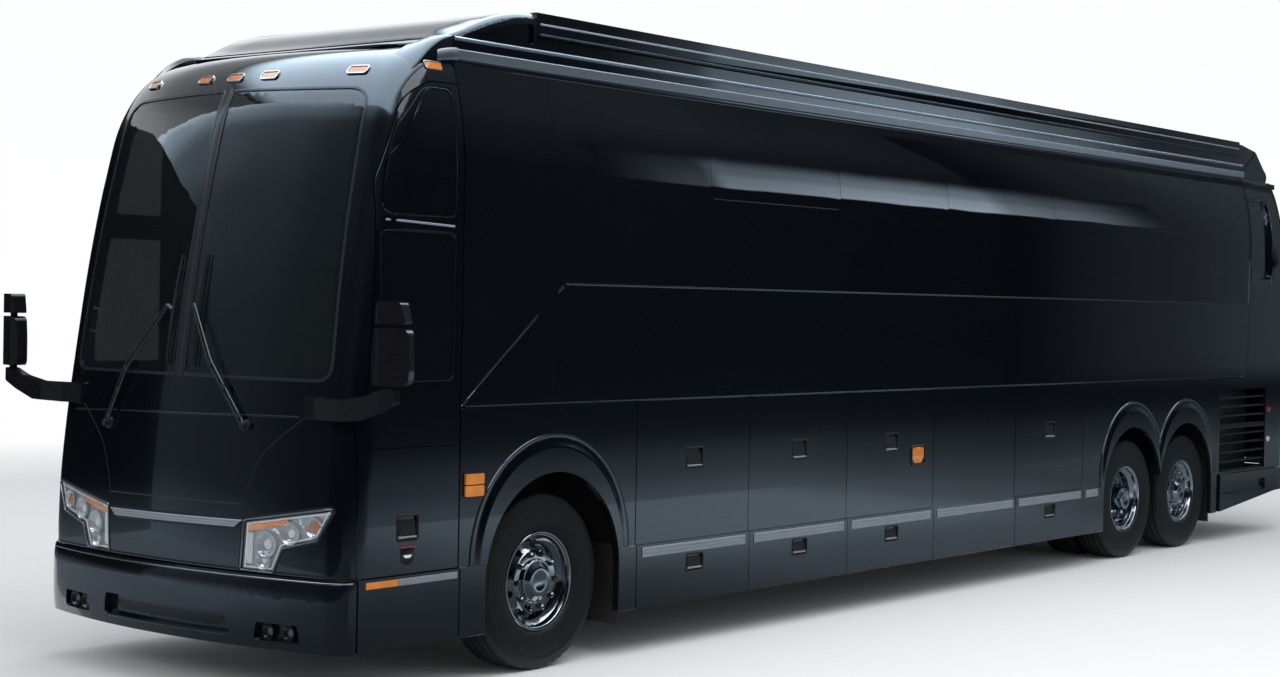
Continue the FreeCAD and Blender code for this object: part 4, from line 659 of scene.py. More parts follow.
def lens_finish(name, colour, alpha, rough=0.05, ripple=0.08):
    lens = Finish(name, colour, rough)
    lens.set("Alpha", alpha).set("Coat Weight", 1.0).set("Coat Roughness", 0.02)
    lens.blend_colour(lens.noise(18.0, 2.0), tuple(c * 0.6 for c in colour))
    lens.bump(lens.noise(260.0, 1.0, (1.0, 1.0, 0.2)), ripple, 0.001)
    return lens.material


def metal_finish(name, colour, rough, scale, wear=0.08, stretch=(1.0, 1.0, 1.0), metallic=1.0):
    metal = Finish(name, colour, rough, metallic)
    grain = metal.noise(scale, 4.0, stretch)
    metal.vary_rough(grain, rough, rough + wear)
    metal.blend_colour(metal.noise(5.0, 3.0), tuple(c * 0.82 for c in colour))
    metal.bump(grain, 0.03, 0.0005)
    return metal.material


def facet_finish(name, colour, rough, scale, metallic):
    """Bright metal pressed into facets, as inside a lamp."""
    metal = Finish(name, colour, rough, metallic)
    metal.bump(metal.cells(scale), 0.55, 0.006)
    metal.blend_colour(metal.noise(24.0, 2.0), tuple(c * 0.55 for c in colour))
    return metal.material


def rubber_finish(name, colour, rough, scale=90.0, dust=None):
    rubber = Finish(name, colour, rough)
    grain = rubber.noise(scale, 5.0)
    rubber.vary_rough(grain, rough - 0.08, rough + 0.1)
    rubber.blend_colour(rubber.span(grain, 0.35, 0.75, 0.0, 0.5), tuple(c * 1.6 for c in colour))
    if dust:
        rubber.blend_colour(rubber.span(rubber.noise(3.0, 5.0), 0.45, 0.8, 0.0, 0.45), dust)
    rubber.bump(grain, 0.15, 0.0008)
    return rubber.material


def leather_finish(wish):
    hide = Finish("seat_leather", (0.05, 0.052, 0.056), 0.42)
    hide.bump(hide.cells(260.0), 0.35, 0.0015)
    hide.vary_rough(hide.noise(30.0, 4.0), 0.36, 0.52)
    hide.blend_colour(hide.noise(7.0, 4.0), (0.032, 0.033, 0.036))
    return hide.material


# The grain of a drawn strip
DRAWN = (1.0, 0.05, 3.0)

FINISH_MAKERS = {
    "paint": paint_finish,
    "band_glass": band_glass_finish,
    "windscreen": clear_glass_finish,
    "leather": leather_finish,
    "tyre": lambda wish: rubber_finish("tyre_rubber", (0.0045, 0.0052, 0.0064), 0.58, 120.0,
                                       (0.011, 0.0115, 0.012)),
    "seal": lambda wish: rubber_finish("seal_rubber", (0.006, 0.006, 0.007), 0.5),
    "flap": lambda wish: rubber_finish("flap_rubber", (0.012, 0.012, 0.012), 0.6, 60.0, (0.04, 0.038, 0.036)),
    "plastic": lambda wish: rubber_finish("black_plastic", (0.010, 0.010, 0.011), 0.42, 220.0),
    "chassis": lambda wish: rubber_finish("chassis_steel", (0.018, 0.018, 0.019), 0.5, 25.0,
                                          (0.05, 0.046, 0.042)),
    "casting": lambda wish: rubber_finish("engine_casting", (0.09, 0.09, 0.1), 0.5, 45.0,
                                          (0.05, 0.045, 0.04)),
    "wheel": lambda wish: metal_finish("polished_wheel", wish.wheel_metal, 0.07, 25.0, 0.05),
    "nut": lambda wish: metal_finish("wheel_nut_metal", (0.32, 0.34, 0.37), 0.12, 80.0, 0.1),
    "strip": lambda wish: metal_finish("silver_trim", wish.trim_silver, 0.36, 300.0, 0.15, DRAWN, 0.7),
    "bright": lambda wish: facet_finish("lamp_chrome", (0.85, 0.88, 0.92), 0.06, 46.0, 0.75),
    "chrome": lambda wish: metal_finish("bezel_chrome", (0.55, 0.57, 0.60), 0.12, 40.0, 0.08),
    "dark_chrome": lambda wish: metal_finish("dark_chrome", (0.17, 0.18, 0.20), 0.18, 40.0, 0.1),
    "mirror": lambda wish: metal_finish("mirror_glass", (0.75, 0.78, 0.80), 0.01, 3.0, 0.01),
    "lamp_dark": lambda wish: facet_finish("lamp_well", (0.66, 0.70, 0.75), 0.10, 38.0, 0.6),
    "gloss_seal": lambda wish: rubber_finish("gloss_seal", (0.016, 0.017, 0.021), 0.18, 200.0),
    "gloss_plastic": lambda wish: rubber_finish("gloss_plastic", (0.006, 0.006, 0.008), 0.14, 300.0),
    "label": lambda wish: rubber_finish("blank_label", (0.62, 0.62, 0.6), 0.4, 200.0),
    "guide": lambda wish: rubber_finish("light_guide", (0.55, 0.58, 0.62), 0.15, 60.0),
    "rail": lambda wish: metal_finish("rail_metal", (0.50, 0.53, 0.58), 0.38, 200.0, 0.12, DRAWN),
    "clear": lambda wish: lens_finish("clear_lens", (0.75, 0.8, 0.85), 0.07, 0.02, 0.02),
    "amber": lambda wish: lens_finish("amber_lens", wish.amber, 0.92, 0.18),
    "turn_amber": lambda wish: lens_finish("turn_amber", tuple(c * 0.5 for c in wish.amber), 0.92, 0.10),
    "red": lambda wish: lens_finish("red_lens", (0.42, 0.012, 0.01), 0.95, 0.12),
    "white": lambda wish: lens_finish("white_lens", (0.7, 0.72, 0.75), 0.95, 0.15),
}


# Settings

class CoachFinish(bpy.types.PropertyGroup):
    paint: FloatVectorProperty(name="Paint", description="Colour under the clear coat", subtype="COLOR",
                               default=(0.0016, 0.0022, 0.0040), min=0.0, max=1.0)
    road_film: FloatVectorProperty(name="Road film", description="Dust low on the body", subtype="COLOR",
                                   default=(0.030, 0.031, 0.034), min=0.0, max=1.0)
    band_glass: FloatVectorProperty(name="Band glass", description="Colour of the side windows",
                                    subtype="COLOR", default=(0.0015, 0.002, 0.003), min=0.0, max=1.0)
    wheel_metal: FloatVectorProperty(name="Wheel metal", description="Colour of the polished wheels",
                                     subtype="COLOR", default=(0.50, 0.53, 0.56), min=0.0, max=1.0)
    trim_silver: FloatVectorProperty(name="Trim", description="Colour of the silver strips", subtype="COLOR",
                                     default=(0.46, 0.49, 0.54), min=0.0, max=1.0)
    amber: FloatVectorProperty(name="Amber", description="Colour of the marker lamps", subtype="COLOR",
                               default=(0.78, 0.26, 0.03), min=0.0, max=1.0)


class CoachWheels(bpy.types.PropertyGroup):
    nuts: IntProperty(name="Nuts", description="Wheel nuts on each wheel", default=10, min=5, max=20)
    nut_circle: FloatProperty(name="Nut circle", description="Radius of the nut circle", default=0.1675,
                              unit="LENGTH")
    holes: IntProperty(name="Hand holes", description="Openings in each wheel disc", default=10, min=6,
                       max=14)
    hole_radius: FloatProperty(name="Hand hole radius", description="Radius of a hand hole", default=0.023,
                               unit="LENGTH")
    groove: FloatProperty(name="Groove depth", description="Depth of the tread's grooves", default=0.013,
                          unit="LENGTH")
    lugs: IntProperty(name="Shoulder lugs", description="Lugs round each shoulder", default=48, min=20,
                      max=90)


class CoachStage(bpy.types.PropertyGroup):
    camera_place: FloatVectorProperty(name="Camera", description="Where the camera stands",
                                      subtype="TRANSLATION", default=(9.3663, -14.3815, 2.2064))
    camera_turn: FloatVectorProperty(name="Camera turn", description="Heading, pitch and roll in degrees",
                                     default=(38.3208, -0.9719, 1.1204))
    camera_lens: FloatProperty(name="Lens", description="Focal length in millimetres", default=58.414)
    key_power: FloatProperty(name="Key light", description="Power of the overhead soft light", default=900.0)


BODY_SIDE = ("side_walls", "side_glass", "cab_side_panel", "service_door", "lower_side_panels",
             "wheel_arch_flares", "front_cap", "rear_cap", "roof")


# The body

PAINTED = (
    "front_cap", "cab_side_panel", "entrance_door", "side_walls", "rear_cap", "engine_door",
    "roof", "roof_fairing", "roof_tail", "front_bumper", "rear_bumper",
)
CURVED = ("front_cap", "front_bumper", "rear_bumper", "roof_fairing")
EVEN_REACH = 0.035
PAINTED_FLAT = ("lower_side_panels", "wheel_arch_flares", "service_door") + tuple(
    "bay_door_%s_%d" % (side, i) for side, _ in SIDES for i in range(1, 5))


class COACH_OT_body(bpy.types.Operator):
    """Gives the body panels and doors their smooth gloss paint"""
    bl_idname = "coach.body"
    bl_label = "Body panels"

    def execute(self, context):
        for node in PAINTED:
            even = EVEN_REACH if node in CURVED else 0.0
            skin_copy(node, "painted_" + node, "paint", "black_paint", 28.0, even=even)
        for node in PAINTED_FLAT:
            skin_copy(node, "painted_" + node, "paint", "black_paint", 30.0, 0.003, True)
        return {"FINISHED"}


# The joints between the side panes, as (y, foot), and the lower edges of the opening ones
PANE_JOINTS = ((-4.984, 1.66), (-3.427, 2.33), (-1.874, 2.33), (-0.345, 2.33), (1.427, 2.33), (3.200, 2.33),
               (4.650, 2.33))
PANE_TOP_Z = 3.53
PANE_REACH = 0.12
PANE_PITCHES = (0.0, 0.4, 0.09)
OPENING_LINES = ((-3.40, -1.90, 2.900), (3.23, 4.62, 2.960))


class COACH_OT_glass(bpy.types.Operator):
    """Fits the windscreen, side, rear and entrance glass and the joints between the side panes"""
    bl_idname = "coach.glass"
    bl_label = "Glass"

    def execute(self, context):
        skin_copy("windshield", "windscreen_panes", "windscreen", "dark_glass")
        skin_copy("side_glass", "side_panes", "band_glass", "dark_glass", even=PANE_REACH,
                  pitches=PANE_PITCHES)
        skin_copy("rear_window", "rear_pane", "band_glass", "dark_glass")
        skin_copy("entrance_door_glass", "entrance_panes", "windscreen", "dark_glass")
        self.seams()
        return {"FINISHED"}

    def seams(self):
        """The thin joints between the side panes and under the opening ones."""
        side = Skin(*BODY_SIDE).left
        joint = (0.0022, 0.0010)
        form = Form()
        for y, foot in PANE_JOINTS:
            bead(form, [(y, foot), (y, PANE_TOP_Z)], side, joint, 0.06)
        for low, high, z in OPENING_LINES:
            bead(form, [(low, z), (high, z)], side, joint, 0.1)
        form.pair("pane_joints", "dark_chrome")


PLAIN = {
    "chassis": ("floor_structure", "chassis_frame", "front_axle", "drive_axle", "tag_axle", "knuckle_left",
                "knuckle_right", "entrance_steps"),
    "casting": ("engine_block",),
    "plastic": ("dashboard", "steering_wheel", "side_grilles"),
    "flap": ("mudflaps",),
    "amber": ("marker_lamps",),
    "red": ("tail_lamps",),
}


class COACH_OT_underparts(bpy.types.Operator):
    """Finishes the frame, axles, floor, steps, engine and flaps"""
    bl_idname = "coach.underparts"
    bl_label = "Frame and axles"

    def execute(self, context):
        for look, nodes in PLAIN.items():
            for node in nodes:
                mesh = NODES[node].data
                mesh.materials.clear()
                mesh.materials.append(finish(look))
        return {"FINISHED"}


# Wheels and tyres

FRONT_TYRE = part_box("front_tyre_left")
WHEEL_X = (FRONT_TYRE[0].x + FRONT_TYRE[1].x) / 2.0
TWIN_STEP = FRONT_TYRE[0].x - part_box("drive_tyre_left")[0].x

# Half of a tyre's section from bead to shoulder, as (out from the middle, radius)
TYRE_WALL = (
    (0.104, 0.2885), (0.1185, 0.289), (0.1205, 0.300), (0.131, 0.3045), (0.1405, 0.317), (0.1487, 0.343),
    (0.1525, 0.375), (0.153, 0.408), (0.1515, 0.436), (0.149, 0.455), (0.1505, 0.459), (0.150, 0.466),
    (0.1455, 0.480), (0.1415, 0.496))
TYRE_LUG = ((0.140, 0.5035), (0.1365, 0.5135), (0.1315, 0.5205), (0.1285, 0.5238))
LUG_NOTCH = 0.004
TREAD_HALF = 0.1285
TREAD_CROWN = 0.0058
TREAD_GROOVES = ((0.086, 0.007), (0.029, 0.005), (-0.029, 0.005), (-0.086, 0.007))

# Half of a rim's section, from the barrel round the lip to the tyre side
RIM_LIP = (
    (0.064, 0.2395), (0.084, 0.268), (0.090, 0.2715), (0.118, 0.273), (0.126, 0.2775), (0.1304, 0.286),
    (0.1304, 0.295), (0.1278, 0.298), (0.1246, 0.297), (0.1225, 0.292), (0.1212, 0.2862), (0.090, 0.286),
    (0.070, 0.252))
BARREL_R = 0.238
DISC_R = 0.190
DISC_THICK = 0.012
DISC_DROP = 0.004
STEPS_A_HOLE = 12

# Where the disc leaves the barrel, its bolt face and the back of its hub
DISCS = {
    "front": (0.052, 0.096, 0.084),
    "tag": (0.052, 0.096, 0.084),
    "drive": (-0.050, -0.034, -0.092),
}
TWIN_DISC = (
    (-0.296, 0.242), (-0.046, 0.190), (-0.046, 0.120), (-0.058, 0.120), (-0.058, 0.182), (-0.308, 0.240))
TWIN_SEGMENTS = 96

# The outer face of the disc, measured from its bolt face, and the hub that stands through it
DISC_FACE = (
    (-DISC_DROP, DISC_R), (-0.001, 0.1875), (0.0, 0.184), (0.0, 0.1345), (0.003, 0.1305), (0.018, 0.1295),
    (0.0205, 0.127), (0.0205, 0.1185))
HUB = [(0.134, 0.0935), (0.1375, 0.0895), (0.139, 0.085), (0.139, 0.050), (0.1375, 0.046), (0.1375, 0.0)]

# The boss at the back of the hub as (out, radius), and the radii of the bolt face's back
BOSS = (0.101, 0.062)
BOLT_RING = (0.130, 0.182)

# A flanged nut as (out, radius, six-sided)
NUT = (
    (0.0, 0.0225, False), (0.0035, 0.0225, False), (0.0055, 0.0205, False), (0.0055, 0.0185, True),
    (0.024, 0.0185, True), (0.0275, 0.0155, True), (0.033, 0.010, False), (0.035, 0.004, False))


def tread_radius(x):
    return TYRE_R - TREAD_CROWN * (x / TREAD_HALF) ** 2


def tyre_profile(groove):
    half = list(TYRE_WALL)
    for x, r in TYRE_LUG:
        half.append((x, lambda i, r=r: r - (LUG_NOTCH if i % 4 > 1 else 0.0)))
    tread = []
    for middle, wide in TREAD_GROOVES:
        for share, drop in ((1.0, 0.0), (0.8, groove), (-0.8, groove), (-1.0, 0.0)):
            x = middle + wide * share
            tread.append((x, tread_radius(x) - drop))
    return half + tread + [(-x, r) for x, r in reversed(half)]


def holed_cone(form, centre, root, face, holes, radius):
    """The sloping part of a wheel disc, cut by a ring of round holes."""
    x_in = face - DISC_DROP
    half_high = math.hypot(root - x_in, BARREL_R - DISC_R) / 2.0
    half_wide = math.pi / holes * (BARREL_R + DISC_R) / 2.0
    border = [(2.0 * k / STEPS_A_HOLE - 1.0, 1.0) for k in range(STEPS_A_HOLE + 1)]
    border += [(1.0, 1.0 - k / 2.0) for k in (1, 2, 3)]
    border += [(1.0 - 2.0 * k / STEPS_A_HOLE, -1.0) for k in range(STEPS_A_HOLE + 1)]
    border += [(-1.0, k / 2.0 - 1.0) for k in (1, 2, 3)]
    hole = []
    for u, v in border:
        way = math.atan2(v * half_high, u * half_wide)
        hole.append((radius * math.cos(way) / half_wide, radius * math.sin(way) / half_high))
    between = [((a[0] + b[0] * 1.2) / 2.2, (a[1] + b[1] * 1.2) / 2.2) for a, b in zip(border, hole)]
    for s in range(holes):
        rows = []
        for back, ring in ((0.0, border), (0.0, between), (0.0, hole),
                           (DISC_THICK, hole), (DISC_THICK, between), (DISC_THICK, border)):
            row = []
            for u, v in ring:
                share = (v + 1.0) / 2.0
                r = DISC_R + (BARREL_R - DISC_R) * share
                angle = 2.0 * math.pi * (s + 0.5 + u / 2.0) / holes
                row.append((centre.x + x_in + (root - x_in) * share - back,
                            centre.y + r * math.cos(angle), centre.z + r * math.sin(angle)))
            rows.append(row)
        form.rows(rows, ends=False)


def both_lips():
    return list(RIM_LIP) + [(-x, r) for x, r in reversed(RIM_LIP)]


def wheel_form(centre, root, face, hub_back, holes, radius):
    segments = holes * STEPS_A_HOLE
    form = Form()
    rim = [(root, BARREL_R)] + both_lips() + [(root - DISC_THICK, BARREL_R)]
    form.lathe(rim, centre, segments, loop=False)
    holed_cone(form, centre, root, face, holes, radius)
    form.lathe([(face + x, r) for x, r in DISC_FACE] + HUB, centre, segments, loop=False)
    form.lathe([
        (BOSS[0], 0.0), BOSS, (hub_back, BOSS[1]), (hub_back, BOLT_RING[0]),
        (face - DISC_THICK, BOLT_RING[0]), (face - DISC_THICK, BOLT_RING[1]),
        (face - DISC_DROP - DISC_THICK, DISC_R)], centre, segments, loop=False)
    return form


def nut_form():
    rows = []
    for x, r, flats in NUT:
        row = []
        for k in range(12):
            reach = r * math.cos(math.pi / 6.0) if flats and k % 2 else r
            angle = 2.0 * math.pi * k / 12
            row.append((x, reach * math.cos(angle), reach * math.sin(angle)))
        rows.append(row)
    return Form().rows(rows)


class COACH_OT_wheels(bpy.types.Operator):
    """Turns the tyres and the polished wheels and sets their nuts"""
    bl_idname = "coach.wheels"
    bl_label = "Wheels and tyres"

    def execute(self, context):
        wish = context.scene.coach_wheels
        tree = ring_tree()
        for axle, spot in AXLES.items():
            for side, sign in SIDES:
                centre = Vector((WHEEL_X, spot.y, spot.z))
                inner = centre - Vector((TWIN_STEP, 0, 0)) if axle == "drive" else None
                self.tyre(wish, axle, side, sign, centre, inner)
                self.wheel(wish, axle, side, sign, centre, inner)
                self.nuts(wish, tree, axle, side, sign, centre)
        return {"FINISHED"}

    def tyre(self, wish, axle, side, sign, centre, inner):
        node = "%s_tyre_%s" % (axle, side)
        form = Form().lathe(tyre_profile(wish.groove), centre, wish.lugs * 4)
        if inner is not None:
            form.lathe(tyre_profile(wish.groove), inner, wish.lugs * 4)
        rode(form, sign, "road_" + node, "tyre", body_of(node), replaces=(node,), smooth=38.0)

    def wheel(self, wish, axle, side, sign, centre, inner):
        node = "%s_wheel_%s" % (axle, side)
        form = wheel_form(centre, *DISCS[axle], wish.holes, wish.hole_radius)
        if inner is not None:
            form.lathe(both_lips(), inner, TWIN_SEGMENTS)
            form.lathe(TWIN_DISC, centre, TWIN_SEGMENTS)
        rode(form, sign, "polished_" + node, "wheel", body_of(node), replaces=(node,), smooth=34.0)

    def nuts(self, wish, tree, axle, side, sign, centre):
        node = "%s_wheel_%s" % (axle, side)
        sample = nut_form() if sign > 0 else nut_form().flipped()
        values = {"Count": wish.nuts, "Circle Radius": wish.nut_circle,
                  "Centre": (sign * (centre.x + DISCS[axle][1]), centre.y, centre.z)}
        ring = repeated(tree, "nuts_" + node, sample, "nut", **values)
        finish_piece(ring, "nut", body_of(node), smooth=32.0)


# Lamps

HEADLAMP = ((0.582, 0.700), (0.805, 0.700), (0.868, 0.838), (1.100, 0.898), (1.195, 1.065), (0.600, 0.968))
HEADLAMP_CORNER = 0.012
NOSE_FOOT_Z = 0.697
HEADLAMP_MIDDLE = (0.84, 0.87)
CUPS = ((0.752, 0.848, 0.068), (0.733, 0.756, 0.046), (0.915, 0.917, 0.060))
TURN_LAMP = (1.070, 0.962, 0.052)
CUP_DEPTH = 0.028
TURN_DEPTH = 0.022
GUIDE = ((-0.004, -0.012), (-0.003, -0.007), (0.003, -0.007), (0.004, -0.012))
GUIDE_FIN = ((-0.004, -0.020), (-0.002, -0.010), (0.002, -0.010), (0.004, -0.020))
GUIDE_FINS = (0.612, 0.626, 0.640)
GUIDE_FIN_Z = (0.735, 0.905)
LAMP_DEPTH = 0.034
AMBER_STRIP = ((0.618, 0.950), (0.890, 0.992), (0.902, 0.966), (0.622, 0.912))
MARKERS = ((0.0, 3.468), (0.28, 3.470), (0.885, 3.480))
MARKER_HALF = (0.058, 0.018)
CORNER_MARKER = ((-6.010, 3.500), (-5.890, 3.536))
SIDE_MARKERS = ((1.086, 1.148), (1.154, 1.216))
SIDE_MARKER_Y = (-5.745, -5.592)
TAIL_LAMPS = ((1.04, 0.82), (1.04, 1.01), (1.04, 1.20), (1.04, 1.39))
TAIL_LAMP_R = 0.062
TAIL_BEZEL = (0.012, 0.011)
FOG_BOWL = (0.042, 0.024, -0.026)
FOG_GLASS = (0.024, 0.008, -0.006)
LENS_TRIES = 12
LENS_NUDGE = 0.02
FOG_LAMPS = ((0.800, 0.380), (0.935, 0.380))


def oblong(low, high, corner, steps=4):
    """A rounded rectangle between two corners."""
    (x0, y0), (x1, y1) = low, high
    return rounded([(x0, y0), (x1, y0), (x1, y1), (x0, y1)], corner, steps)


def about(middle, half, corner, steps=4):
    return oblong((middle[0] - half[0], middle[1] - half[1]), (middle[0] + half[0], middle[1] + half[1]),
                  corner, steps)


def strip_section(half, high, low=-0.003):
    return [(-half, low), (-half, high * 0.6), (-half * 0.6, high), (half * 0.6, high), (half, high * 0.6),
            (half, low)]


def turned(form, spot, profile, sink=0.0, segments=20, loop=False):
    """Turns a profile of (out, radius) about a surface's normal."""
    place, normal = spot
    side = normal.cross(UP).normalized()
    return form.lathe(profile, place - normal * sink, segments, loop, normal, side)


def cup(form, spot, radius, depth, sink=0.004):
    """A reflector bowl that opens along a surface's normal."""
    return turned(form, spot, [
        (-depth, 0.0), (-depth * 0.98, radius * 0.30), (-depth * 0.80, radius * 0.58),
        (-depth * 0.45, radius * 0.82), (0.0, radius), (0.0, radius + 0.004), (-depth * 0.5, radius),
        (-depth - 0.003, radius * 0.5), (-depth - 0.003, 0.0)], sink)


def dome(form, spot, radius, high, sink):
    """A round glass or bulb standing off a surface."""
    profile = [(-0.002, 0.0), (-0.002, radius)]
    for k in range(5):
        angle = math.pi / 2.0 * k / 4
        profile.append((high * math.sin(angle), radius * math.cos(angle)))
    return turned(form, spot, profile, sink)


def hoop(form, spot, radius, wide, high):
    """A round bezel on a surface."""
    return turned(form, spot, [
        (-0.002, radius), (high * 0.7, radius), (high, radius + wide * 0.3), (high, radius + wide * 0.7),
        (high * 0.5, radius + wide), (-0.002, radius + wide)], 0.0, 40, True)


def headlamp_lens():
    """The lens surface, or its nearest place inwards for a point past its edge."""
    skin = Skin("headlamps")

    def lens(x, z):
        for _ in range(LENS_TRIES):
            place, normal, _, _ = skin.tree.ray_cast(Vector((x, NOSE_Y - 1.0, z)), -AHEAD)
            if place is not None:
                return place, normal
            x += (HEADLAMP_MIDDLE[0] - x) * LENS_NUDGE
            z += (HEADLAMP_MIDDLE[1] - z) * LENS_NUDGE
        raise RuntimeError("no lens at %.3f, %.3f" % (x, z))
    return lens


class COACH_OT_lamps(bpy.types.Operator):
    """Fits the headlamps, markers, fog lamps and tail lamps"""
    bl_idname = "coach.lamps"
    bl_label = "Lamps"

    def execute(self, context):
        nose = Skin("front_cap").front
        self.headlamps(nose)
        self.markers(nose)
        self.tail()
        self.fog()
        return {"FINISHED"}

    def headlamps(self, nose):
        lens = headlamp_lens()
        edge = rounded(HEADLAMP, HEADLAMP_CORNER)
        well = patch(grown(edge, -0.008), lens, -LAMP_DEPTH, 0.05, 0.008, -LAMP_DEPTH + 0.012, 0.003)
        well.pair("headlamp_wells", "lamp_dark", replaces=("headlamps",), smooth=32.0)
        bowls = Form()
        bulbs = Form()
        for x, z, r in CUPS:
            cup(bowls, lens(x, z), r, CUP_DEPTH)
            dome(bulbs, lens(x, z), r * 0.42, 0.012, CUP_DEPTH - 0.002)
        x, z, r = TURN_LAMP
        cup(bowls, lens(x, z), r, TURN_DEPTH)
        bowls.pair("headlamp_bowls", "bright", smooth=14.0)
        bulbs.pair("headlamp_bulbs", "white", smooth=60.0)
        dome(Form(), lens(x, z), r * 0.78, 0.012, TURN_DEPTH).pair("turn_lamps", "turn_amber")
        patch(AMBER_STRIP, lens, -0.005, edge=0.004, sunk=-0.012, thick=0.004).pair("amber_strips", "amber")
        line = bead(Form(), grown(edge, -0.017), lens, GUIDE, 0.03, True)
        for x in GUIDE_FINS:
            bead(line, [(x, GUIDE_FIN_Z[0]), (x + 0.006, GUIDE_FIN_Z[1])], lens, GUIDE_FIN, 0.03)
        line.pair("headlamp_guides", "guide", smooth=40.0)
        glass = patch(grown(edge, -0.006), lens, 0.0, edge=0.005, sunk=-0.001, thick=0.003)
        glass.pair("headlamp_lenses", "clear")
        for by, section, name, look in ((0.005, (0.0045, 0.004), "headlamp_frames", "chrome"),
                                        (0.0155, (0.005, 0.0015), "headlamp_gaps", "seal")):
            rim = [(p[0], max(p[1], NOSE_FOOT_Z)) for p in grown(edge, by)]
            bead(Form(), rim, nose, section, 0.03, True).pair(name, look)

    def markers(self, nose):
        bezels = Form()
        for x, z in MARKERS:
            one = bead(Form(), grown(about((x, z), MARKER_HALF, 0.014), 0.004), nose,
                       (0.0045, 0.011), 0.02, True)
            bezels.join(one)
            if x:
                bezels.join(one.flipped())
        bezels.piece("marker_bezels", "chrome")
        side = Skin(*BODY_SIDE).left
        rims = Form()
        for z0, z1 in SIDE_MARKERS:
            line = grown(oblong((SIDE_MARKER_Y[0], z0), (SIDE_MARKER_Y[1], z1), 0.008), 0.002)
            bead(rims, line, side, (0.0025, 0.006), 0.05, True)
        rims.pair("side_marker_frames", "seal")
        corner = grown(oblong(*CORNER_MARKER, 0.008), 0.004)
        bead(Form(), corner, side, (0.004, 0.008), 0.02, True).pair("corner_marker_bezels", "chrome")

    def tail(self):
        rear = Skin("rear_cap").rear
        hoops = Form()
        for x, z in TAIL_LAMPS:
            place, _ = rear(x - TAIL_LAMP_R - TAIL_BEZEL[0], z)
            hoop(hoops, (Vector((x, place.y, z)), -AHEAD), TAIL_LAMP_R + 0.0015, *TAIL_BEZEL)
        hoops.pair("tail_lamp_bezels", "chrome")

    def fog(self):
        bumper = Skin("front_bumper").front
        hoods = Form()
        glasses = Form()
        for x, z in FOG_LAMPS:
            spot = (bumper(x, z)[0], AHEAD)
            cup(hoods, spot, *FOG_BOWL)
            dome(glasses, spot, *FOG_GLASS)
        hoods.pair("fog_lamp_bowls", "gloss_plastic", smooth=40.0)
        glasses.pair("fog_lamp_lenses", "clear", smooth=60.0)


# Strips, latches and seams

RIBS = (
    (0.0, -0.002), (0.0, 0.003), (0.06, 0.006), (0.27, 0.006), (0.30, 0.003), (0.35, 0.003), (0.38, 0.006),
    (0.62, 0.006), (0.65, 0.003), (0.70, 0.003), (0.73, 0.006), (0.94, 0.006), (1.0, 0.003), (1.0, -0.002))
FLAT_STRIP = ((0.0, -0.002), (0.0, 0.002), (0.12, 0.0045), (0.88, 0.0045), (1.0, 0.002), (1.0, -0.002))
STRIP_Z = (0.605, 0.667)
STRIP_INSET = 0.05
DOOR_STRIP = ((-6.515, 0.630), (-5.804, 0.668))
DOOR_STRIP_AMBER_END = -6.273
HOOD_BAR = (((-0.509, 0.913), (-0.559, 0.955)), ((0.531, 0.929), (0.588, 0.971)))
HOOD_BAR_DARK = (((-0.494, 0.900), (-0.580, 0.968)), ((0.515, 0.916), (0.610, 0.984)))
UPPER_LATCH = (1.143, 1.275)
LOWER_LATCH = (0.480, 0.585)
LATCH_HALF = 0.088
LATCH_DEPTH = 0.014
LATCH_RIM = 0.007
LATCH_LIP = 0.004

# The lever's bar as (drop, share of the half width), its radius and its height over the recess's foot
LEVER = ((0.004, -0.86), (0.001, -0.80), (0.001, 0.80), (0.004, 0.86))
LEVER_R = 0.007
LEVER_UP = 0.016

SERVICE_LATCH = ((-6.270, 0.875), (-6.110, 1.010))
BELT_LINE = ((-4.883, 2.313), (5.590, 2.313))
BELT_STEP = ((-5.760, 1.614), (-5.60, 1.750), (-5.05, 2.185), (-4.903, 2.298))
LOWER_BELT = ((-5.750, 1.600), (5.580, 1.600))
DOOR_LAMP = ((-0.823, 1.033), (-0.641, 1.163))
DOOR_LAMP_BAY = 3
LAST_STRIP = 0.33
DOOR_LABEL = (-6.190, 0.785)
LABEL_BACK_HALF = (0.072, 0.060)
LABEL_HALF = (0.056, 0.042)
LABEL_EDGE_RISE = 0.051
HOOD_EDGE = (
    (0.960, 1.545), (0.900, 1.500), (0.800, 1.425), (0.700, 1.335), (0.645, 1.235), (0.610, 1.145),
    (0.590, 1.085), (0.583, 1.030))
HOOD_RIDGE = ((-0.575, 1.050), (0.0, 1.054), (0.575, 1.056))


def ruled(form, cast, start, stop, section, step=0.1):
    """Sweeps a section between two slanted ends on a surface. Each end is its bottom and its top."""
    start = [Vector(p) for p in start]
    stop = [Vector(p) for p in stop]
    count = max(2, int((stop[0] - start[0]).length / step))
    rows = []
    for i in range(count + 1):
        row = []
        for share, high in section:
            spot = start[0].lerp(start[1], share).lerp(stop[0].lerp(stop[1], share), i / count)
            place, normal = cast(spot.x, spot.y)
            row.append(place + normal * high)
        rows.append(row)
    return form.rows(rows)


def flowing(points, steps=5):
    """A smooth line through points."""
    points = [Vector(p) for p in points]
    padded = [points[0] * 2 - points[1]] + points + [points[-1] * 2 - points[-2]]
    out = []
    for i in range(1, len(padded) - 2):
        a, b, c, d = padded[i - 1:i + 3]
        for k in range(steps):
            t = k / steps
            out.append(0.5 * (b * 2 + (c - a) * t + (a * 2 - b * 5 + c * 4 - d) * t * t
                              + (b * 3 - a - c * 3 + d) * t ** 3))
    out.append(points[-1])
    return out


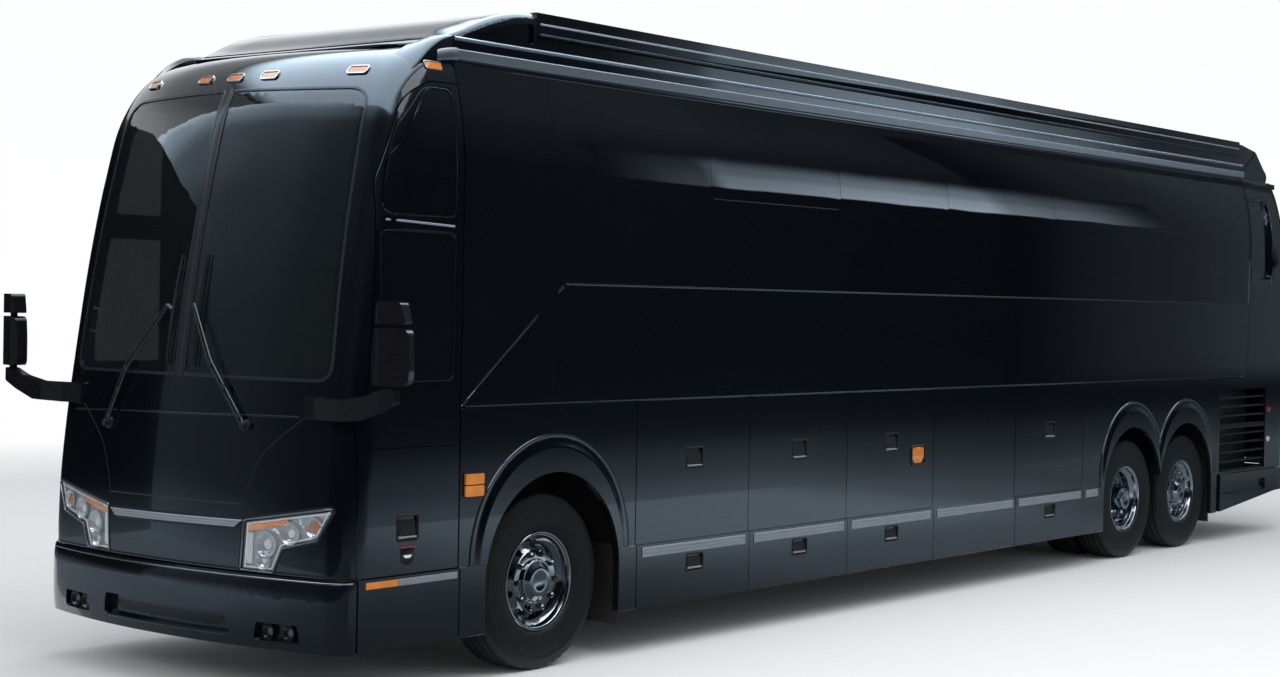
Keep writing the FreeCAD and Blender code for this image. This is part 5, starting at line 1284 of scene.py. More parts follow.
def latch(form, levers, low, high, face):
    """A recessed pull with its rim and paddle. The lever goes to another form."""
    middle = ((low[0] + high[0]) / 2.0, (low[1] + high[1]) / 2.0)
    half = ((high[0] - low[0]) / 2.0, (high[1] - low[1]) / 2.0)
    outer = about(middle, (half[0] + LATCH_RIM, half[1] + LATCH_RIM), 0.020)
    inner = about(middle, (half[0] - LATCH_LIP, half[1] - LATCH_LIP), 0.014)
    form.rows([[(face + x, p[0], p[1]) for p in outline] for outline, x in (
        (outer, -0.002), (outer, 0.002), (grown(outer, -0.002), 0.0035), (grown(inner, 0.001), 0.0035),
        (inner, 0.001), (inner, -LATCH_DEPTH + 0.001))], ends=False, loop=True)
    plate = about(middle, (half[0] * 0.80, half[1] * 0.66), 0.012)
    form.prism(plate, lambda u, v, w: (face + w - (v - middle[1]) * 0.10, u, v), -0.0115, -0.004)
    bar = [(face - drop, middle[0] + half[0] * share, low[1] + LEVER_UP) for drop, share in LEVER]
    levers.tube(bar, LEVER_R, 8)


def rode(form, sign, name, look, body, **more):
    """Finishes a form made for the left side on the side that it belongs to."""
    return (form if sign > 0 else form.flipped()).piece(name, look, body, **more)


def upright(y, z=STRIP_Z):
    """The end of a strip that stands straight up, as its bottom and its top."""
    return (y, z[0]), (y, z[1])


class COACH_OT_trim(bpy.types.Operator):
    """Adds strips, mouldings, latches and the small lamps of the sides"""
    bl_idname = "coach.trim"
    bl_label = "Side trim"

    def execute(self, context):
        skin = Skin(*BODY_SIDE).left
        for side, sign in SIDES:
            for i in range(1, 5):
                self.bay_door(side, sign, i)
        self.fixed_strips(skin)
        self.belt(skin)
        self.cab_strips(skin)
        self.service_door()
        return {"FINISHED"}

    def bay_door(self, side, sign, i):
        node = "bay_door_%s_%d" % (side, i)
        left = "bay_door_left_%d" % i
        skin = Skin(left).left
        low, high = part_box(left)
        middle = (low.y + high.y) / 2.0
        pieces = [("strip_" + node, "strip", 20.0, ruled(
            Form(), skin, upright(low.y + STRIP_INSET), upright(high.y - STRIP_INSET), RIBS, 0.5))]
        rims = Form()
        levers = Form()
        for z, face in ((UPPER_LATCH, SIDE_X), (LOWER_LATCH, SKIRT_X)):
            latch(rims, levers, (middle - LATCH_HALF, z[0]), (middle + LATCH_HALF, z[1]), face)
        pieces += [("latch_" + node, "plastic", 30.0, rims), ("lever_" + node, "strip", 40.0, levers)]
        if i == DOOR_LAMP_BAY:
            edge = oblong(*DOOR_LAMP, 0.012)
            rim = bead(Form(), grown(edge, 0.006), skin, (0.007, 0.009), 0.1, True)
            pieces += [("door_lamp_" + side, "amber", 40.0, patch(edge, skin, 0.014, edge=0.010)),
                       ("door_lamp_rim_" + side, "plastic", 40.0, rim)]
        for name, look, smooth, form in pieces:
            rode(form, sign, name, look, body_of(node), smooth=smooth)

    def fixed_strips(self, skin):
        third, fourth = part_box("bay_door_left_3"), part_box("bay_door_left_4")
        form = Form()
        for start, stop in ((third[1].y, fourth[0].y), (fourth[1].y, fourth[1].y + LAST_STRIP)):
            ruled(form, skin, upright(start + STRIP_INSET), upright(stop - STRIP_INSET), RIBS, 0.5)
        form.pair("fixed_strips", "strip", smooth=20.0)

    def belt(self, skin):
        section = (0.006, 0.004)
        line = bead(Form(), BELT_LINE, skin, section, 0.3)
        bead(line, flowing(BELT_STEP), skin, section, 0.06).pair("belt_moulding", "dark_chrome", smooth=40.0)
        bead(Form(), LOWER_BELT, skin, (0.004, 0.003), 0.3).pair("lower_belt", "dark_chrome", smooth=40.0)

    def cab_strips(self, skin):
        (y0, z0), (y1, z1) = DOOR_STRIP
        split = DOOR_STRIP_AMBER_END
        for start, stop, name, look in ((split + 0.004, y1, "cab_strip", "strip"),
                                        (y0, split, "cab_reflector", "amber")):
            ruled(Form(), skin, upright(start, (z0, z1)), upright(stop, (z0, z1)), FLAT_STRIP).piece(
                name, look, smooth=20.0)

    def service_door(self):
        body = body_of("service_door")
        door = Skin("service_door").left
        rims = Form()
        levers = Form()
        latch(rims, levers, *SERVICE_LATCH, SIDE_X)
        rims.piece("latch_service_door", "plastic", body, smooth=30.0)
        levers.piece("lever_service_door", "strip", body, smooth=40.0)
        patch(about(DOOR_LABEL, LABEL_BACK_HALF, 0.010), door, 0.0040, edge=0.003).piece(
            "door_label_back", "gloss_plastic", body, smooth=30.0)
        patch(about(DOOR_LABEL, LABEL_HALF, 0.004), door, 0.0055, edge=0.002).piece(
            "door_label", "label", body, smooth=30.0)
        ends = [(DOOR_LABEL[0] + way * LABEL_HALF[0], DOOR_LABEL[1] + LABEL_EDGE_RISE) for way in (-1, 1)]
        bead(Form(), ends, door, (0.0035, 0.0055), 0.05).piece(
            "door_label_edge", "red", body, smooth=40.0)


# Front of the coach

PANE = ((0.038, 1.756), (1.105, 1.752), (1.035, 3.375), (0.038, 3.388))
PANE_CORNERS = (0.020, 0.090, 0.150, 0.020)
LOW_WINDOW = ((-6.432, 1.755), (-5.850, 1.755), (-5.850, 2.575), (-6.400, 2.575))
HIGH_WINDOW = ((-6.385, 2.672), (-5.850, 2.672), (-5.850, 3.385), (-6.070, 3.385), (-6.285, 3.140))
HIGH_WINDOW_CORNERS = (0.045, 0.045, 0.045, 0.160, 0.420)
WINDOW_BAR = ((-6.372, 2.636), (-5.860, 2.618))
DIVIDER = ((0.0, 1.74), (0.0, 3.40))
# Height of a chrome bead on the bumper's top edge: painted highlight in place of the shine of its rounded
# edge
BUMPER_HIGHLIGHT_Z = 0.668
INTAKE = ((-0.520, 0.352), (0.520, 0.461))
# A dark chrome bead at the intake's lower lip: painted highlight on its edge
INTAKE_HIGHLIGHT_LINE = ((-0.500, 0.338), (0.540, 0.338))
# Matte dark strips along the nose cap's foot: painted shade that stands in for the shade in the gap above the
# bumper
FOOT_SHADE_Z = 0.703
FOOT_SHADE_SPANS = ((-1.33, -0.83), (-0.57, 0.57), (0.83, 1.33))
NOSE_PIVOT = (1.15, -6.59)
NOSE_TURN_R = 0.12
NOSE_RUN = 1.33
CREASE = ((-1.065, 1.507), (-0.55, 1.527), (0.0, 1.534), (0.55, 1.545), (0.93, 1.550))


def round_the_nose(skin):
    """Places at a run from the middle, round the nose's corners to its sides."""
    def cast(run, z):
        past = abs(run) - NOSE_PIVOT[0]
        if past <= 0.0:
            return skin.front(run, z)
        turn = min(past / NOSE_TURN_R, math.pi / 2.0)
        way = Vector((math.copysign(math.sin(turn), run), -math.cos(turn), 0.0))
        pivot = Vector((math.copysign(NOSE_PIVOT[0], run), NOSE_PIVOT[1], z))
        return skin.cast(pivot + way, -way)
    return cast


class COACH_OT_front(bpy.types.Operator):
    """Fits the windscreen seals, hood bar and bumper fittings, with painted shade in the hood seams, the
    nose's foot and the intake, and painted highlight beads on the bumper and the intake
    """
    bl_idname = "coach.front"
    bl_label = "Front fittings"

    def execute(self, context):
        nose = Skin("front_cap", "windshield").front
        self.seals(nose)
        self.hood(nose)
        self.bumper()
        return {"FINISHED"}

    def seals(self, nose):
        seal = bead(Form(), grown(rounded(PANE, PANE_CORNERS, 8), 0.002), nose, (0.009, 0.002, -0.006),
                    0.06, True).mirrored()
        bead(seal, DIVIDER, nose, (0.026, 0.003), 0.06).piece("windscreen_seals", "gloss_seal")
        cab = Skin(*BODY_SIDE).left
        ring = Form()
        for window in (rounded(LOW_WINDOW, 0.045), rounded(HIGH_WINDOW, HIGH_WINDOW_CORNERS, 12)):
            bead(ring, grown(window, 0.003), cab, (0.004, 0.002), 0.06, True)
        ring.piece("driver_window_seals", "gloss_plastic")
        bead(Form(), WINDOW_BAR, cab, (0.006, 0.005), 0.1).piece("driver_window_bar", "strip")

    def hood(self, nose):
        # Painted shade: thin dark rubber lines along the hood's edge stand in for the shade inside its seam
        # groove
        lines = Form()
        for sign in (1, -1):
            edge = flowing([(sign * x, z) for x, z in HOOD_EDGE])
            bead(lines, edge, nose, (0.0035, 0.0008, -0.002), 0.03)
        lines.piece("hood_seams", "seal")
        fold = bead(Form(), flowing(CREASE), nose, (0.005, 0.0025), 0.06)
        bead(fold, flowing(HOOD_RIDGE), nose, (0.004, 0.0025), 0.06).piece(
            "hood_folds", "paint", slot="black_paint", smooth=60.0)
        ruled(Form(), nose, *HOOD_BAR_DARK, FLAT_STRIP, 0.06).piece("hood_bar_frame", "plastic", smooth=30.0)
        raised = [(share, high + 0.0045) for share, high in RIBS]
        ruled(Form(), nose, *HOOD_BAR, raised, 0.06).piece(
            "hood_bar", "strip", replaces=("front_trim",), smooth=20.0)

    def bumper(self):
        face = round_the_nose(Skin("front_bumper"))
        # Painted highlight: a chrome bead along the bumper's top stands in for the highlight on its rounded
        # edge
        bead(Form(), [(-NOSE_RUN, BUMPER_HIGHLIGHT_Z), (NOSE_RUN, BUMPER_HIGHLIGHT_Z)], face, (0.0045, 0.003),
             0.03).piece("bumper_lip", "chrome", smooth=60.0)
        skin = Skin("front_bumper").front
        # Painted shade: a dark gloss sheet on the intake's back wall stands in for the shade inside the
        # recess
        shade_sheet = patch(oblong(*INTAKE, 0.012), skin, 0.003, 0.1, 0.004)
        shade_sheet.piece("intake_liner", "gloss_plastic", smooth=40.0)
        # Painted highlight: a dark chrome bead along the intake's lower lip
        bead(Form(), INTAKE_HIGHLIGHT_LINE, skin, (0.0035, 0.002), 0.06).piece(
            "intake_sill", "dark_chrome", smooth=60.0)
        # Painted shade: matte dark strips under the cap's foot, in place of the shade in its gap to the
        # bumper
        foot = round_the_nose(Skin("front_cap"))
        gap = Form()
        for start, stop in FOOT_SHADE_SPANS:
            bead(gap, [(start, FOOT_SHADE_Z), (stop, FOOT_SHADE_Z)], foot, (0.005, 0.001), 0.03)
        gap.piece("nose_foot_gap", "seal", smooth=60.0)


# Mirrors and wipers

MIRROR_SPOT = (1.645, -6.7)
MIRROR_TURN = math.radians(15.0)
MIRROR_HEADS = (
    (((-0.105, 1.750), (0.108, 1.750), (0.118, 1.830), (0.108, 2.052), (-0.095, 2.052), (-0.118, 1.850)),
     (0.04, 0.04, 0.06, 0.04, 0.04, 0.06)),
    (((-0.092, 2.072), (0.100, 2.072), (0.072, 2.190), (-0.066, 2.190)), (0.012, 0.012, 0.024, 0.024)))
MIRROR_POCKET = 0.042
MIRROR_INSET = 0.016
WIPERS = (
    (((-0.635, 1.445), (-0.445, 1.780), (-0.120, 2.138)), ((-0.090, 1.800), (-0.067, 2.430))),
    (((0.570, 1.490), (0.290, 1.830), (0.102, 2.146)), ((0.127, 1.800), (0.125, 2.436))))
WIPER_STAND = 0.050
BLADE_STAND = 0.030
ROD_GAP = 0.013
ROD_R = 0.0065
ROD_WIDE = (0.8, 1.0, 0.7)
PIVOT = (
    (-0.004, 0.0), (-0.004, 0.034), (0.012, 0.032), (0.016, 0.022), (0.042, 0.020), (0.046, 0.014),
    (0.046, 0.0))
CLIPS = (0.10, 0.55, 0.93)
CLIP_LONG = 0.07
CLIP_R = 0.010
BLADE_BOW = 0.004
BLADE_R = (0.004, 0.006, 0.007, 0.008, 0.009, 0.008, 0.007, 0.006, 0.004)


def along(path, steps):
    """Places along a bent line of three points, as steps on each leg."""
    return [a.lerp(b, t) for a, b, leg in zip(path, path[1:], steps) for t in leg]


class COACH_OT_fittings(bpy.types.Operator):
    """Makes the mirrors with their panes and the two wipers"""
    bl_idname = "coach.fittings"
    bl_label = "Mirrors and wipers"

    def execute(self, context):
        skin_copy("mirrors", "mirror_housings", "gloss_plastic", None, 40.0, 0.009, True)
        self.panes()
        self.wipers(Skin("front_cap", "windshield").front)
        return {"FINISHED"}

    def panes(self):
        cos, sin = math.cos(MIRROR_TURN), math.sin(MIRROR_TURN)

        def place(u, v, w):
            return MIRROR_SPOT[0] + u * cos - w * sin, MIRROR_SPOT[1] + u * sin + w * cos, v

        form = Form()
        for outline, corners in MIRROR_HEADS:
            form.prism(grown(rounded(outline, corners), -MIRROR_INSET), place, MIRROR_POCKET - 0.001,
                       MIRROR_POCKET + 0.002)
        form.pair("mirror_panes", "mirror", smooth=30.0)

    def wipers(self, skin):
        arms = Form()
        rods = Form()
        rubber = Form()
        for (foot, bend, elbow), (low, high) in WIPERS:
            spots = []
            for (x, z), stand in ((foot, 0.030), (bend, WIPER_STAND), (elbow, WIPER_STAND - 0.006)):
                place, normal = skin(x, z)
                spots.append((place + normal * stand, normal))
            knots = [place for place, _ in spots]
            turned(arms, skin(*foot), PIVOT)
            run = (knots[2] - knots[0]).normalized()
            for way, form in ((-1, arms), (1, rods)):
                path = [place + run.cross(out).normalized() * (way * ROD_GAP * wide)
                        for (place, out), wide in zip(spots, ROD_WIDE)]
                form.tube(along(path, ((0.0, 0.33, 0.66, 0.93), (0.05, 0.35, 0.7, 1.0))), ROD_R, 8, up=AHEAD)
            for share in CLIPS:
                clip = [knots[0].lerp(knots[1], t) for t in (share, min(1.0, share + CLIP_LONG))]
                arms.tube(clip, CLIP_R, 8, 1.9, AHEAD)
            blade = [skin(*(a + (b - a) * t / 8 for a, b in zip(low, high))) for t in range(9)]
            bowed = [p + n * (BLADE_STAND + BLADE_BOW * math.sin(math.pi * i / 8))
                     for i, (p, n) in enumerate(blade)]
            arms.tube(bowed, BLADE_R, 8, 1.2, AHEAD)
            for p, n in blade[1::2]:
                arms.tube([p + n * 0.008, p + n * BLADE_STAND], 0.005, 6)
            rubber.tube([p + n * 0.007 for p, n in blade], 0.0045, 6, 0.8, AHEAD)
            knee = blade[4][0] + blade[4][1] * (BLADE_STAND + 0.006)
            arms.tube([knots[2], knots[2].lerp(knee, 0.5), knee], 0.011, 8, 1.4, Vector((1, 0, 0)))
        arms.join(rubber).piece("wiper_arms", "plastic", replaces=("wipers",))
        rods.piece("wiper_rods", "dark_chrome", smooth=60.0)


# Roof

BOX_Y = (-5.035, 5.600)
SHOULDER = ((1.000, 3.690), (1.040, 3.704), (1.080, 3.713), (1.120, 3.714), (1.150, 3.711), (1.166, 3.706))
SHOULDER_Y = (-5.773, -6.130)
CAP_END_Y = -5.785
SHOULDER_FOOT_Z = 3.530
NOSE_STEPS = 12
RAIL_NOSE = 0.190
RAIL_OUT = 1.2055
RAIL_ROOT_X = 1.09
RAIL_CAST_Z = 3.59

# The rail's section from its foot up, as (inside its edge, height, share of the drop)
RAIL_EDGE = ((0.003, 3.566, 1.0), (0.0, 3.569, 1.0), (0.0, 3.633, 1.6), (0.003, 3.636, 1.6))
RAIL_DROP = 0.030

# The ribs on the sides of the roof cassette, as (piece, finish, height, half width, stand)
CASSETTE_RIBS = (
    ("cassette_ribs", "strip", 3.862, 0.006, 0.005),
    ("cassette_lip", "dark_chrome", 3.800, 0.005, 0.004))


class COACH_OT_roof(bpy.types.Operator):
    """Finishes the roof rails and the side ribs of the roof cassette"""
    bl_idname = "coach.roof"
    bl_label = "Roof"

    def execute(self, context):
        skin_copy("roof_rails", "roof_rail_strips", "rail", None, 30.0, 0.003, True)
        skin = Skin("roof").left
        for name, look, z, half, high in CASSETTE_RIBS:
            ends = [(BOX_Y[0] + 0.03, z), (BOX_Y[1], z)]
            bead(Form(), ends, skin, (half, high), 0.4).pair(name, look)
        cap = Skin("front_cap")
        self.shoulders(cap)
        self.rail_ends(cap)
        return {"FINISHED"}

    def shoulders(self, cap):
        """The shoulders that run from the rails' front ends down into the brow."""
        rows = []
        for i in range(NOSE_STEPS + 1):
            share = i / NOSE_STEPS
            y = SHOULDER_Y[0] + (SHOULDER_Y[1] - SHOULDER_Y[0]) * share
            fall = (1.0 + math.cos(math.pi * share)) / 2.0
            row = []
            for x, top in SHOULDER:
                spot, _ = cap.cast((x, min(y, CAP_END_Y), ROOF_Z + 1.0), -UP)
                base, _ = cap.cast((x, CAP_END_Y, ROOF_Z + 1.0), -UP)
                row.append((x, y, spot.z - 0.002 + (top - base.z + 0.002) * fall))
            (x0, _, z0), (x1, _, z1) = row[0], row[-1]
            row += [(x1 + 0.004, y, z1 - 0.010), (x1 + 0.004, y, min(z1 - 0.012, SHOULDER_FOOT_Z)),
                    (x0, y, min(z0 - 0.010, SHOULDER_FOOT_Z))]
            rows.append(row)
        Form().rows(rows).pair("roof_shoulders", "paint", slot="black_paint")

    def rail_ends(self, cap):
        """The rails' front ends, drawn in to the cap."""
        rows = []
        for i in range(NOSE_STEPS + 1):
            share = i / NOSE_STEPS
            y = SHOULDER_Y[0] - RAIL_NOSE * share
            spot, _ = cap.cast((SIDE_X + 1.0, min(y, CAP_END_Y), RAIL_CAST_Z), (-1, 0, 0))
            out = RAIL_OUT + (spot.x - 0.008 - RAIL_OUT) * share ** 2
            drop = RAIL_DROP * share ** 2
            row = [(out - inside, y, z - drop * part) for inside, z, part in RAIL_EDGE]
            rows.append([(RAIL_ROOT_X, y, row[0][2])] + row + [(RAIL_ROOT_X, y, row[-1][2])])
        Form().rows(rows).pair("rail_ends", "rail")


# Back of the coach

REAR_PANE = ((-0.88, 2.33), (0.88, 2.33), (0.82, 3.20), (-0.82, 3.20))
LOUVRE = ((-0.70, 0.80), (0.70, 1.46))
LOUVRES = 12
CORE = ((4.985, 0.640), (6.085, 1.480))
CORE_X = 1.100
CORE_FINS = 16
CORE_FIN = ((-0.014, -0.008), (0.0, -0.004), (0.0, 0.002), (-0.014, 0.006))
SHIELD = ((1.70, 0.375), (4.90, 1.000))
SHIELD_X = 0.440
SHIELD_RIBS = (0.50, 0.66, 0.82)
LOUVRE_OUT = 0.005
SIDE_LAMP_HALF = (0.052, 0.030)
SIDE_LAMPS = ((6.200, 1.250, "red"), (6.200, 0.950, "white"))


class COACH_OT_rear(bpy.types.Operator):
    """Fits the rear window seal, engine door louvres, the coolers behind the side grilles, the splash shields
    and the side lamps
    """
    bl_idname = "coach.rear"
    bl_label = "Rear fittings"

    def execute(self, context):
        back = Skin("rear_cap", "rear_window").rear
        bead(Form(), grown(rounded(REAR_PANE, 0.09, 8), 0.004), back, (0.010, 0.003), 0.08,
             True).piece("rear_window_seal", "gloss_seal")
        self.louvres()
        self.cores()
        side = Skin(*BODY_SIDE).left
        for y, z, name in SIDE_LAMPS:
            lens = patch(about((y, z), SIDE_LAMP_HALF, 0.014), side, 0.010, edge=0.008)
            lens.pair("side_lamp_" + name, name, smooth=40.0)
        return {"FINISHED"}

    def cores(self):
        """The cooler faces behind the side grilles and the splash shields behind the rear wheels."""
        def place(u, v, w):
            return w, u, v

        (y0, z0), (y1, z1) = CORE
        form = Form()
        form.prism(oblong(*CORE, 0.02), place, CORE_X - 0.030, CORE_X - 0.012)
        pitch = (z1 - z0) / CORE_FINS
        for i in range(1, CORE_FINS):
            z = z0 + pitch * i
            form.rows([[(CORE_X + out, y, z + up) for out, up in CORE_FIN] for y in (y0 + 0.03, y1 - 0.03)])
        form.prism(oblong(*SHIELD, 0.08), place, SHIELD_X - 0.003, SHIELD_X + 0.003)
        for z in SHIELD_RIBS:
            ends = (SHIELD[0][0] + 0.10, SHIELD[1][0] - 0.10)
            form.tube([(SHIELD_X + 0.002, y, z) for y in ends], 0.008, 8)
        form.pair("coolers_and_shields", "plastic", smooth=30.0)

    def louvres(self):
        node = "engine_door"
        (x0, z0), (x1, z1) = LOUVRE
        pitch = (z1 - z0) / LOUVRES
        place, _ = Skin(node).rear(0.0, z0)
        section = ((0.002, 0.0), (-LOUVRE_OUT, 0.12), (-LOUVRE_OUT, 0.22), (0.002, 0.80))
        slat = Form().rows([[(x, place.y - out, z0 + pitch * share) for out, share in section]
                            for x in (x0, x1)])
        slats = repeated(row_tree(), "engine_louvres", slat, "paint", Count=LOUVRES, Start=(0.0, 0.0, 0.0),
                         Pitch=(0.0, 0.0, pitch))
        finish_piece(slats, "paint", body_of(node), "black_paint", smooth=32.0)


# Cab seats

SEAT_X = 0.62
SEAT_Y = -5.43
SEAT_FLOOR = 1.2603
SEAT_VOXEL = 0.010
SWELL_PRESSURE = 4.0
SWELL_CAP = 0.012
SWELL_STEPS = 20

# Each pad as its two edges and half its thickness, (y, z) from the seat's place, then half its width
SEAT_PADS = {
    "cushion": ((-0.245, 0.400), (0.235, 0.385), 0.054, 0.238),
    "back": ((0.262, 0.460), (0.372, 1.120), 0.048, 0.236),
    "headrest": ((0.385, 1.150), (0.405, 1.320), 0.034, 0.124),
}

# The seat's stand as (half width, half length, height), and the shell of its back: its foot and head as
# (y, z) from the seat's place, and rows of (share, half width, half depth)
SEAT_STAND = (
    (0.17, 0.19, 0.0), (0.17, 0.19, 0.05), (0.13, 0.15, 0.10), (0.13, 0.15, 0.26), (0.19, 0.20, 0.31),
    (0.19, 0.20, 0.335))
SEAT_BACK = ((0.318, 0.47), (0.425, 1.10))
SEAT_SHELL = ((0.0, 0.20, 0.012), (0.1, 0.235, 0.014), (0.9, 0.225, 0.014), (1.0, 0.20, 0.010))


def pad_form(stations, wide, corner, rings=10):
    """A cushion lofted through (place, thickness direction, half thickness) stations across its width."""
    rows = []
    for i, (middle, out, half) in enumerate(stations):
        row = []
        for k in range(rings * 4):
            angle = 2.0 * math.pi * k / (rings * 4)
            c, s = math.cos(angle), math.sin(angle)
            flat = abs(c) ** corner * math.copysign(1.0, c)
            high = abs(s) ** corner * math.copysign(1.0, s)
            row.append(Vector(middle) + Vector((wide * flat, 0, 0)) + Vector(out) * (half * high))
        rows.append(row)
    return Form().rows(rows)


def loft_path(start, stop, half, steps=12, pinch=0.35):
    """Stations of a pad from one edge to the other, drawn in at both ends."""
    start, stop = Vector(start), Vector(stop)
    out = Vector((1, 0, 0)).cross((stop - start).normalized())
    stations = []
    for i in range(steps + 1):
        t = i / steps
        round_off = math.sqrt(max(0.0, 1.0 - abs(2.0 * t - 1.0) ** 6))
        stations.append((start.lerp(stop, t), out, half * (pinch + (1.0 - pinch) * round_off)))
    return stations


def swell(obj):
    """Blows a pad up a little as cloth and keeps the result."""
    mesher = obj.modifiers.new("even", "REMESH")
    mesher.mode = "VOXEL"
    mesher.voxel_size = SEAT_VOXEL
    bpy.context.view_layer.update()
    obj.data = applied(obj, mesher)
    rest = [v.co.copy() for v in obj.data.vertices]
    cloth = obj.modifiers.new("cloth", "CLOTH")
    cloth.settings.use_pressure = True
    cloth.settings.uniform_pressure_force = SWELL_PRESSURE
    cloth.settings.effector_weights.gravity = 0.0
    for step in range(1, SWELL_STEPS + 1):
        bpy.context.scene.frame_set(step)
    blown = applied(obj, cloth)
    bpy.context.scene.frame_set(1)
    for vertex, place in zip(blown.vertices, rest):
        shift = vertex.co - place
        if shift.length > SWELL_CAP:
            vertex.co = place + shift.normalized() * SWELL_CAP
    obj.data = blown
    return obj


class COACH_OT_cab(bpy.types.Operator):
    """Makes the padded cab seats and their bases"""
    bl_idname = "coach.cab"
    bl_label = "Cab seats"

    def execute(self, context):
        f, y = SEAT_FLOOR, SEAT_Y
        replaced = ("cab_seats",)
        for part, (start, stop, half, wide) in SEAT_PADS.items():
            edges = [(SEAT_X, y + end[0], f + end[1]) for end in (start, stop)]
            pad = swell(pad_form(loft_path(*edges, half), wide, 0.42).object("seat_%s_left" % part))
            other = bpy.data.objects.new("seat_%s_right" % part, pad.data.copy())
            context.scene.collection.objects.link(other)
            for vertex in other.data.vertices:
                vertex.co.x -= 2.0 * SEAT_X
            for obj in (pad, other):
                finish_piece(obj, "leather", replaces=replaced, smooth=60.0)
                replaced = ()
        frames = Form()
        for x in (SEAT_X, -SEAT_X):
            frames.rows([[(p[0], p[1], f + z) for p in about((x, y + 0.01), (wide, long), 0.03)]
                         for wide, long, z in SEAT_STAND])
            foot, head = (Vector((x, y + end[0], f + end[1])) for end in SEAT_BACK)
            frames.rows([[foot.lerp(head, t) + Vector((a, b, 0))
                          for a, b in about((0, 0), (half, deep), 0.010)] for t, half, deep in SEAT_SHELL])
        frames.piece("seat_frames", "plastic", smooth=40.0)
        return {"FINISHED"}


# Stage, light and camera

def camera_matrix(place, turn):
    heading, pitch, roll = (math.radians(a) for a in turn)
    flat = math.cos(pitch)
    ahead = Vector((-math.sin(heading) * flat, math.cos(heading) * flat, math.sin(pitch)))
    right = Vector((math.cos(heading), math.sin(heading), 0.0))
    up = right.cross(ahead)
    right, up = (right * math.cos(roll) + up * math.sin(roll), up * math.cos(roll) - right * math.sin(roll))
    matrix = Matrix((right, up, -ahead)).transposed().to_4x4()
    matrix.translation = Vector(place)
    return matrix


CARD_TINT = (0.79, 0.97, 1.13, 1.0)


def glow_ramp(tree, value, rows):
    """A level that follows rows of (place, level)."""
    low, high = rows[0][0], rows[-1][0]
    peak = max(level for _, level in rows)
    span = add_node(tree, "ShaderNodeMapRange", {"From Min": low, "From Max": high, "Value": value})
    node = add_node(tree, "ShaderNodeValToRGB", {"Fac": span.outputs["Result"]})
    ramp = node.color_ramp
    ramp.interpolation = "EASE"
    while len(ramp.elements) < len(rows):
        ramp.elements.new(0.5)
    for element, (place, level) in zip(ramp.elements, rows):
        element.position = (place - low) / (high - low)
        element.color = (level / peak, level / peak, level / peak, 1.0)
    return maths(tree, "MULTIPLY", node.outputs["Color"], peak)


def glow_material(name, levels, base):
    """A card's glow, from rows of (place, level) for each axis that it changes along."""
    material = bpy.data.materials.new(name)
    material.use_nodes = True
    tree = material.node_tree
    tree.nodes.clear()
    spots = add_node(tree, "ShaderNodeTexCoord").outputs["Object"]
    split = add_node(tree, "ShaderNodeSeparateXYZ", {"Vector": spots})
    strength = 1.0
    for axis, rows in levels.items():
        strength = maths(tree, "MULTIPLY", glow_ramp(tree, split.outputs[axis], rows), strength)
    strength = maths(tree, "ADD", strength, base)
    glow = add_node(tree, "ShaderNodeEmission", {"Color": CARD_TINT, "Strength": strength})
    add_node(tree, "ShaderNodeOutputMaterial", {"Surface": glow.outputs["Emission"]})
    return material


def reflection_card(name, faces, at, low, high, levels, base=0.0):
    """A card beside the set that only gloss and glass see, square to the axis that it faces."""
    corners = [(low[0], low[1]), (high[0], low[1]), (high[0], high[1]), (low[0], high[1])]
    points = [c[:faces] + (at,) + c[faces:] for c in corners]
    card = Form().add(points, [(0, 1, 2, 3)]).object(name)
    card.data.materials.append(glow_material(name, levels, base))
    for rays in ("camera", "diffuse", "shadow", "transmission", "volume_scatter"):
        setattr(card, "visible_" + rays, False)


SIDE_GLOW = {
    "Z": ((0.0, 0.42), (0.35, 0.20), (0.80, 0.010), (4.2, 0.008), (5.6, 0.04), (7.5, 0.10), (14.0, 0.12)),
    "Y": ((-16.0, 0.3), (-3.0, 0.5), (1.0, 1.0), (6.0, 1.0), (9.0, 0.6), (13.0, 0.35), (60.0, 0.3)),
}
STREAK_GLOW = {
    "Z": ((4.05, 0.0), (4.15, 1.0), (4.5, 0.85), (5.0, 0.5), (5.8, 0.02)),
    "Y": ((3.0, 0.0), (4.9, 0.40), (5.4, 1.6), (9.1, 2.2), (11.5, 2.0), (12.4, 1.0), (13.8, 0.72),
          (17.5, 0.05)),
}
REAR_GLOW = {
    "Z": ((0.9, 0.0), (1.4, 1.0), (9.0, 1.0)),
    "Y": ((12.0, 0.0), (17.0, 0.055), (22.0, 0.11), (60.0, 0.13)),
}
FLOOR_GLOW = {
    "X": ((1.3, 0.20), (3.2, 0.32), (5.2, 0.80), (7.4, 0.90)),
    "Y": ((-12.0, 0.22), (-3.0, 0.38), (1.0, 1.0), (5.0, 0.95), (8.0, 0.4), (11.0, 0.22), (60.0, 0.2)),
}
FRONT_GLOW = {
    "Z": ((0.0, 0.50), (0.5, 0.26), (1.1, 0.12), (3.2, 0.14), (5.3, 0.27), (6.8, 0.6), (8.0, 1.7),
          (9.0, 3.0)),
    "X": ((-30.0, 1.2), (-7.0, 1.0), (-3.5, 0.8), (-1.5, 0.3), (1.0, 0.03), (12.0, 0.02)),
}
FRONT_FLOOR_GLOW = {
    "Y": ((-12.0, 0.55), (-8.8, 0.37), (-7.0, 0.26)),
    "X": ((-30.0, 1.1), (-2.0, 1.0), (0.5, 0.45), (1.5, 0.35), (7.0, 0.3)),
}
SKY_GLOW = {
    "X": ((-7.4, 0.0), (-5.6, 1.0), (3.0, 1.0), (4.5, 0.0)),
    "Y": ((-18.0, 1.5), (-14.0, 3.0), (-6.0, 3.6), (30.0, 2.2)),
}
END_GLOW = {
    "Z": ((0.0, 0.35), (0.9, 0.12), (2.3, 0.02), (4.5, 0.03), (8.0, 0.3)),
}

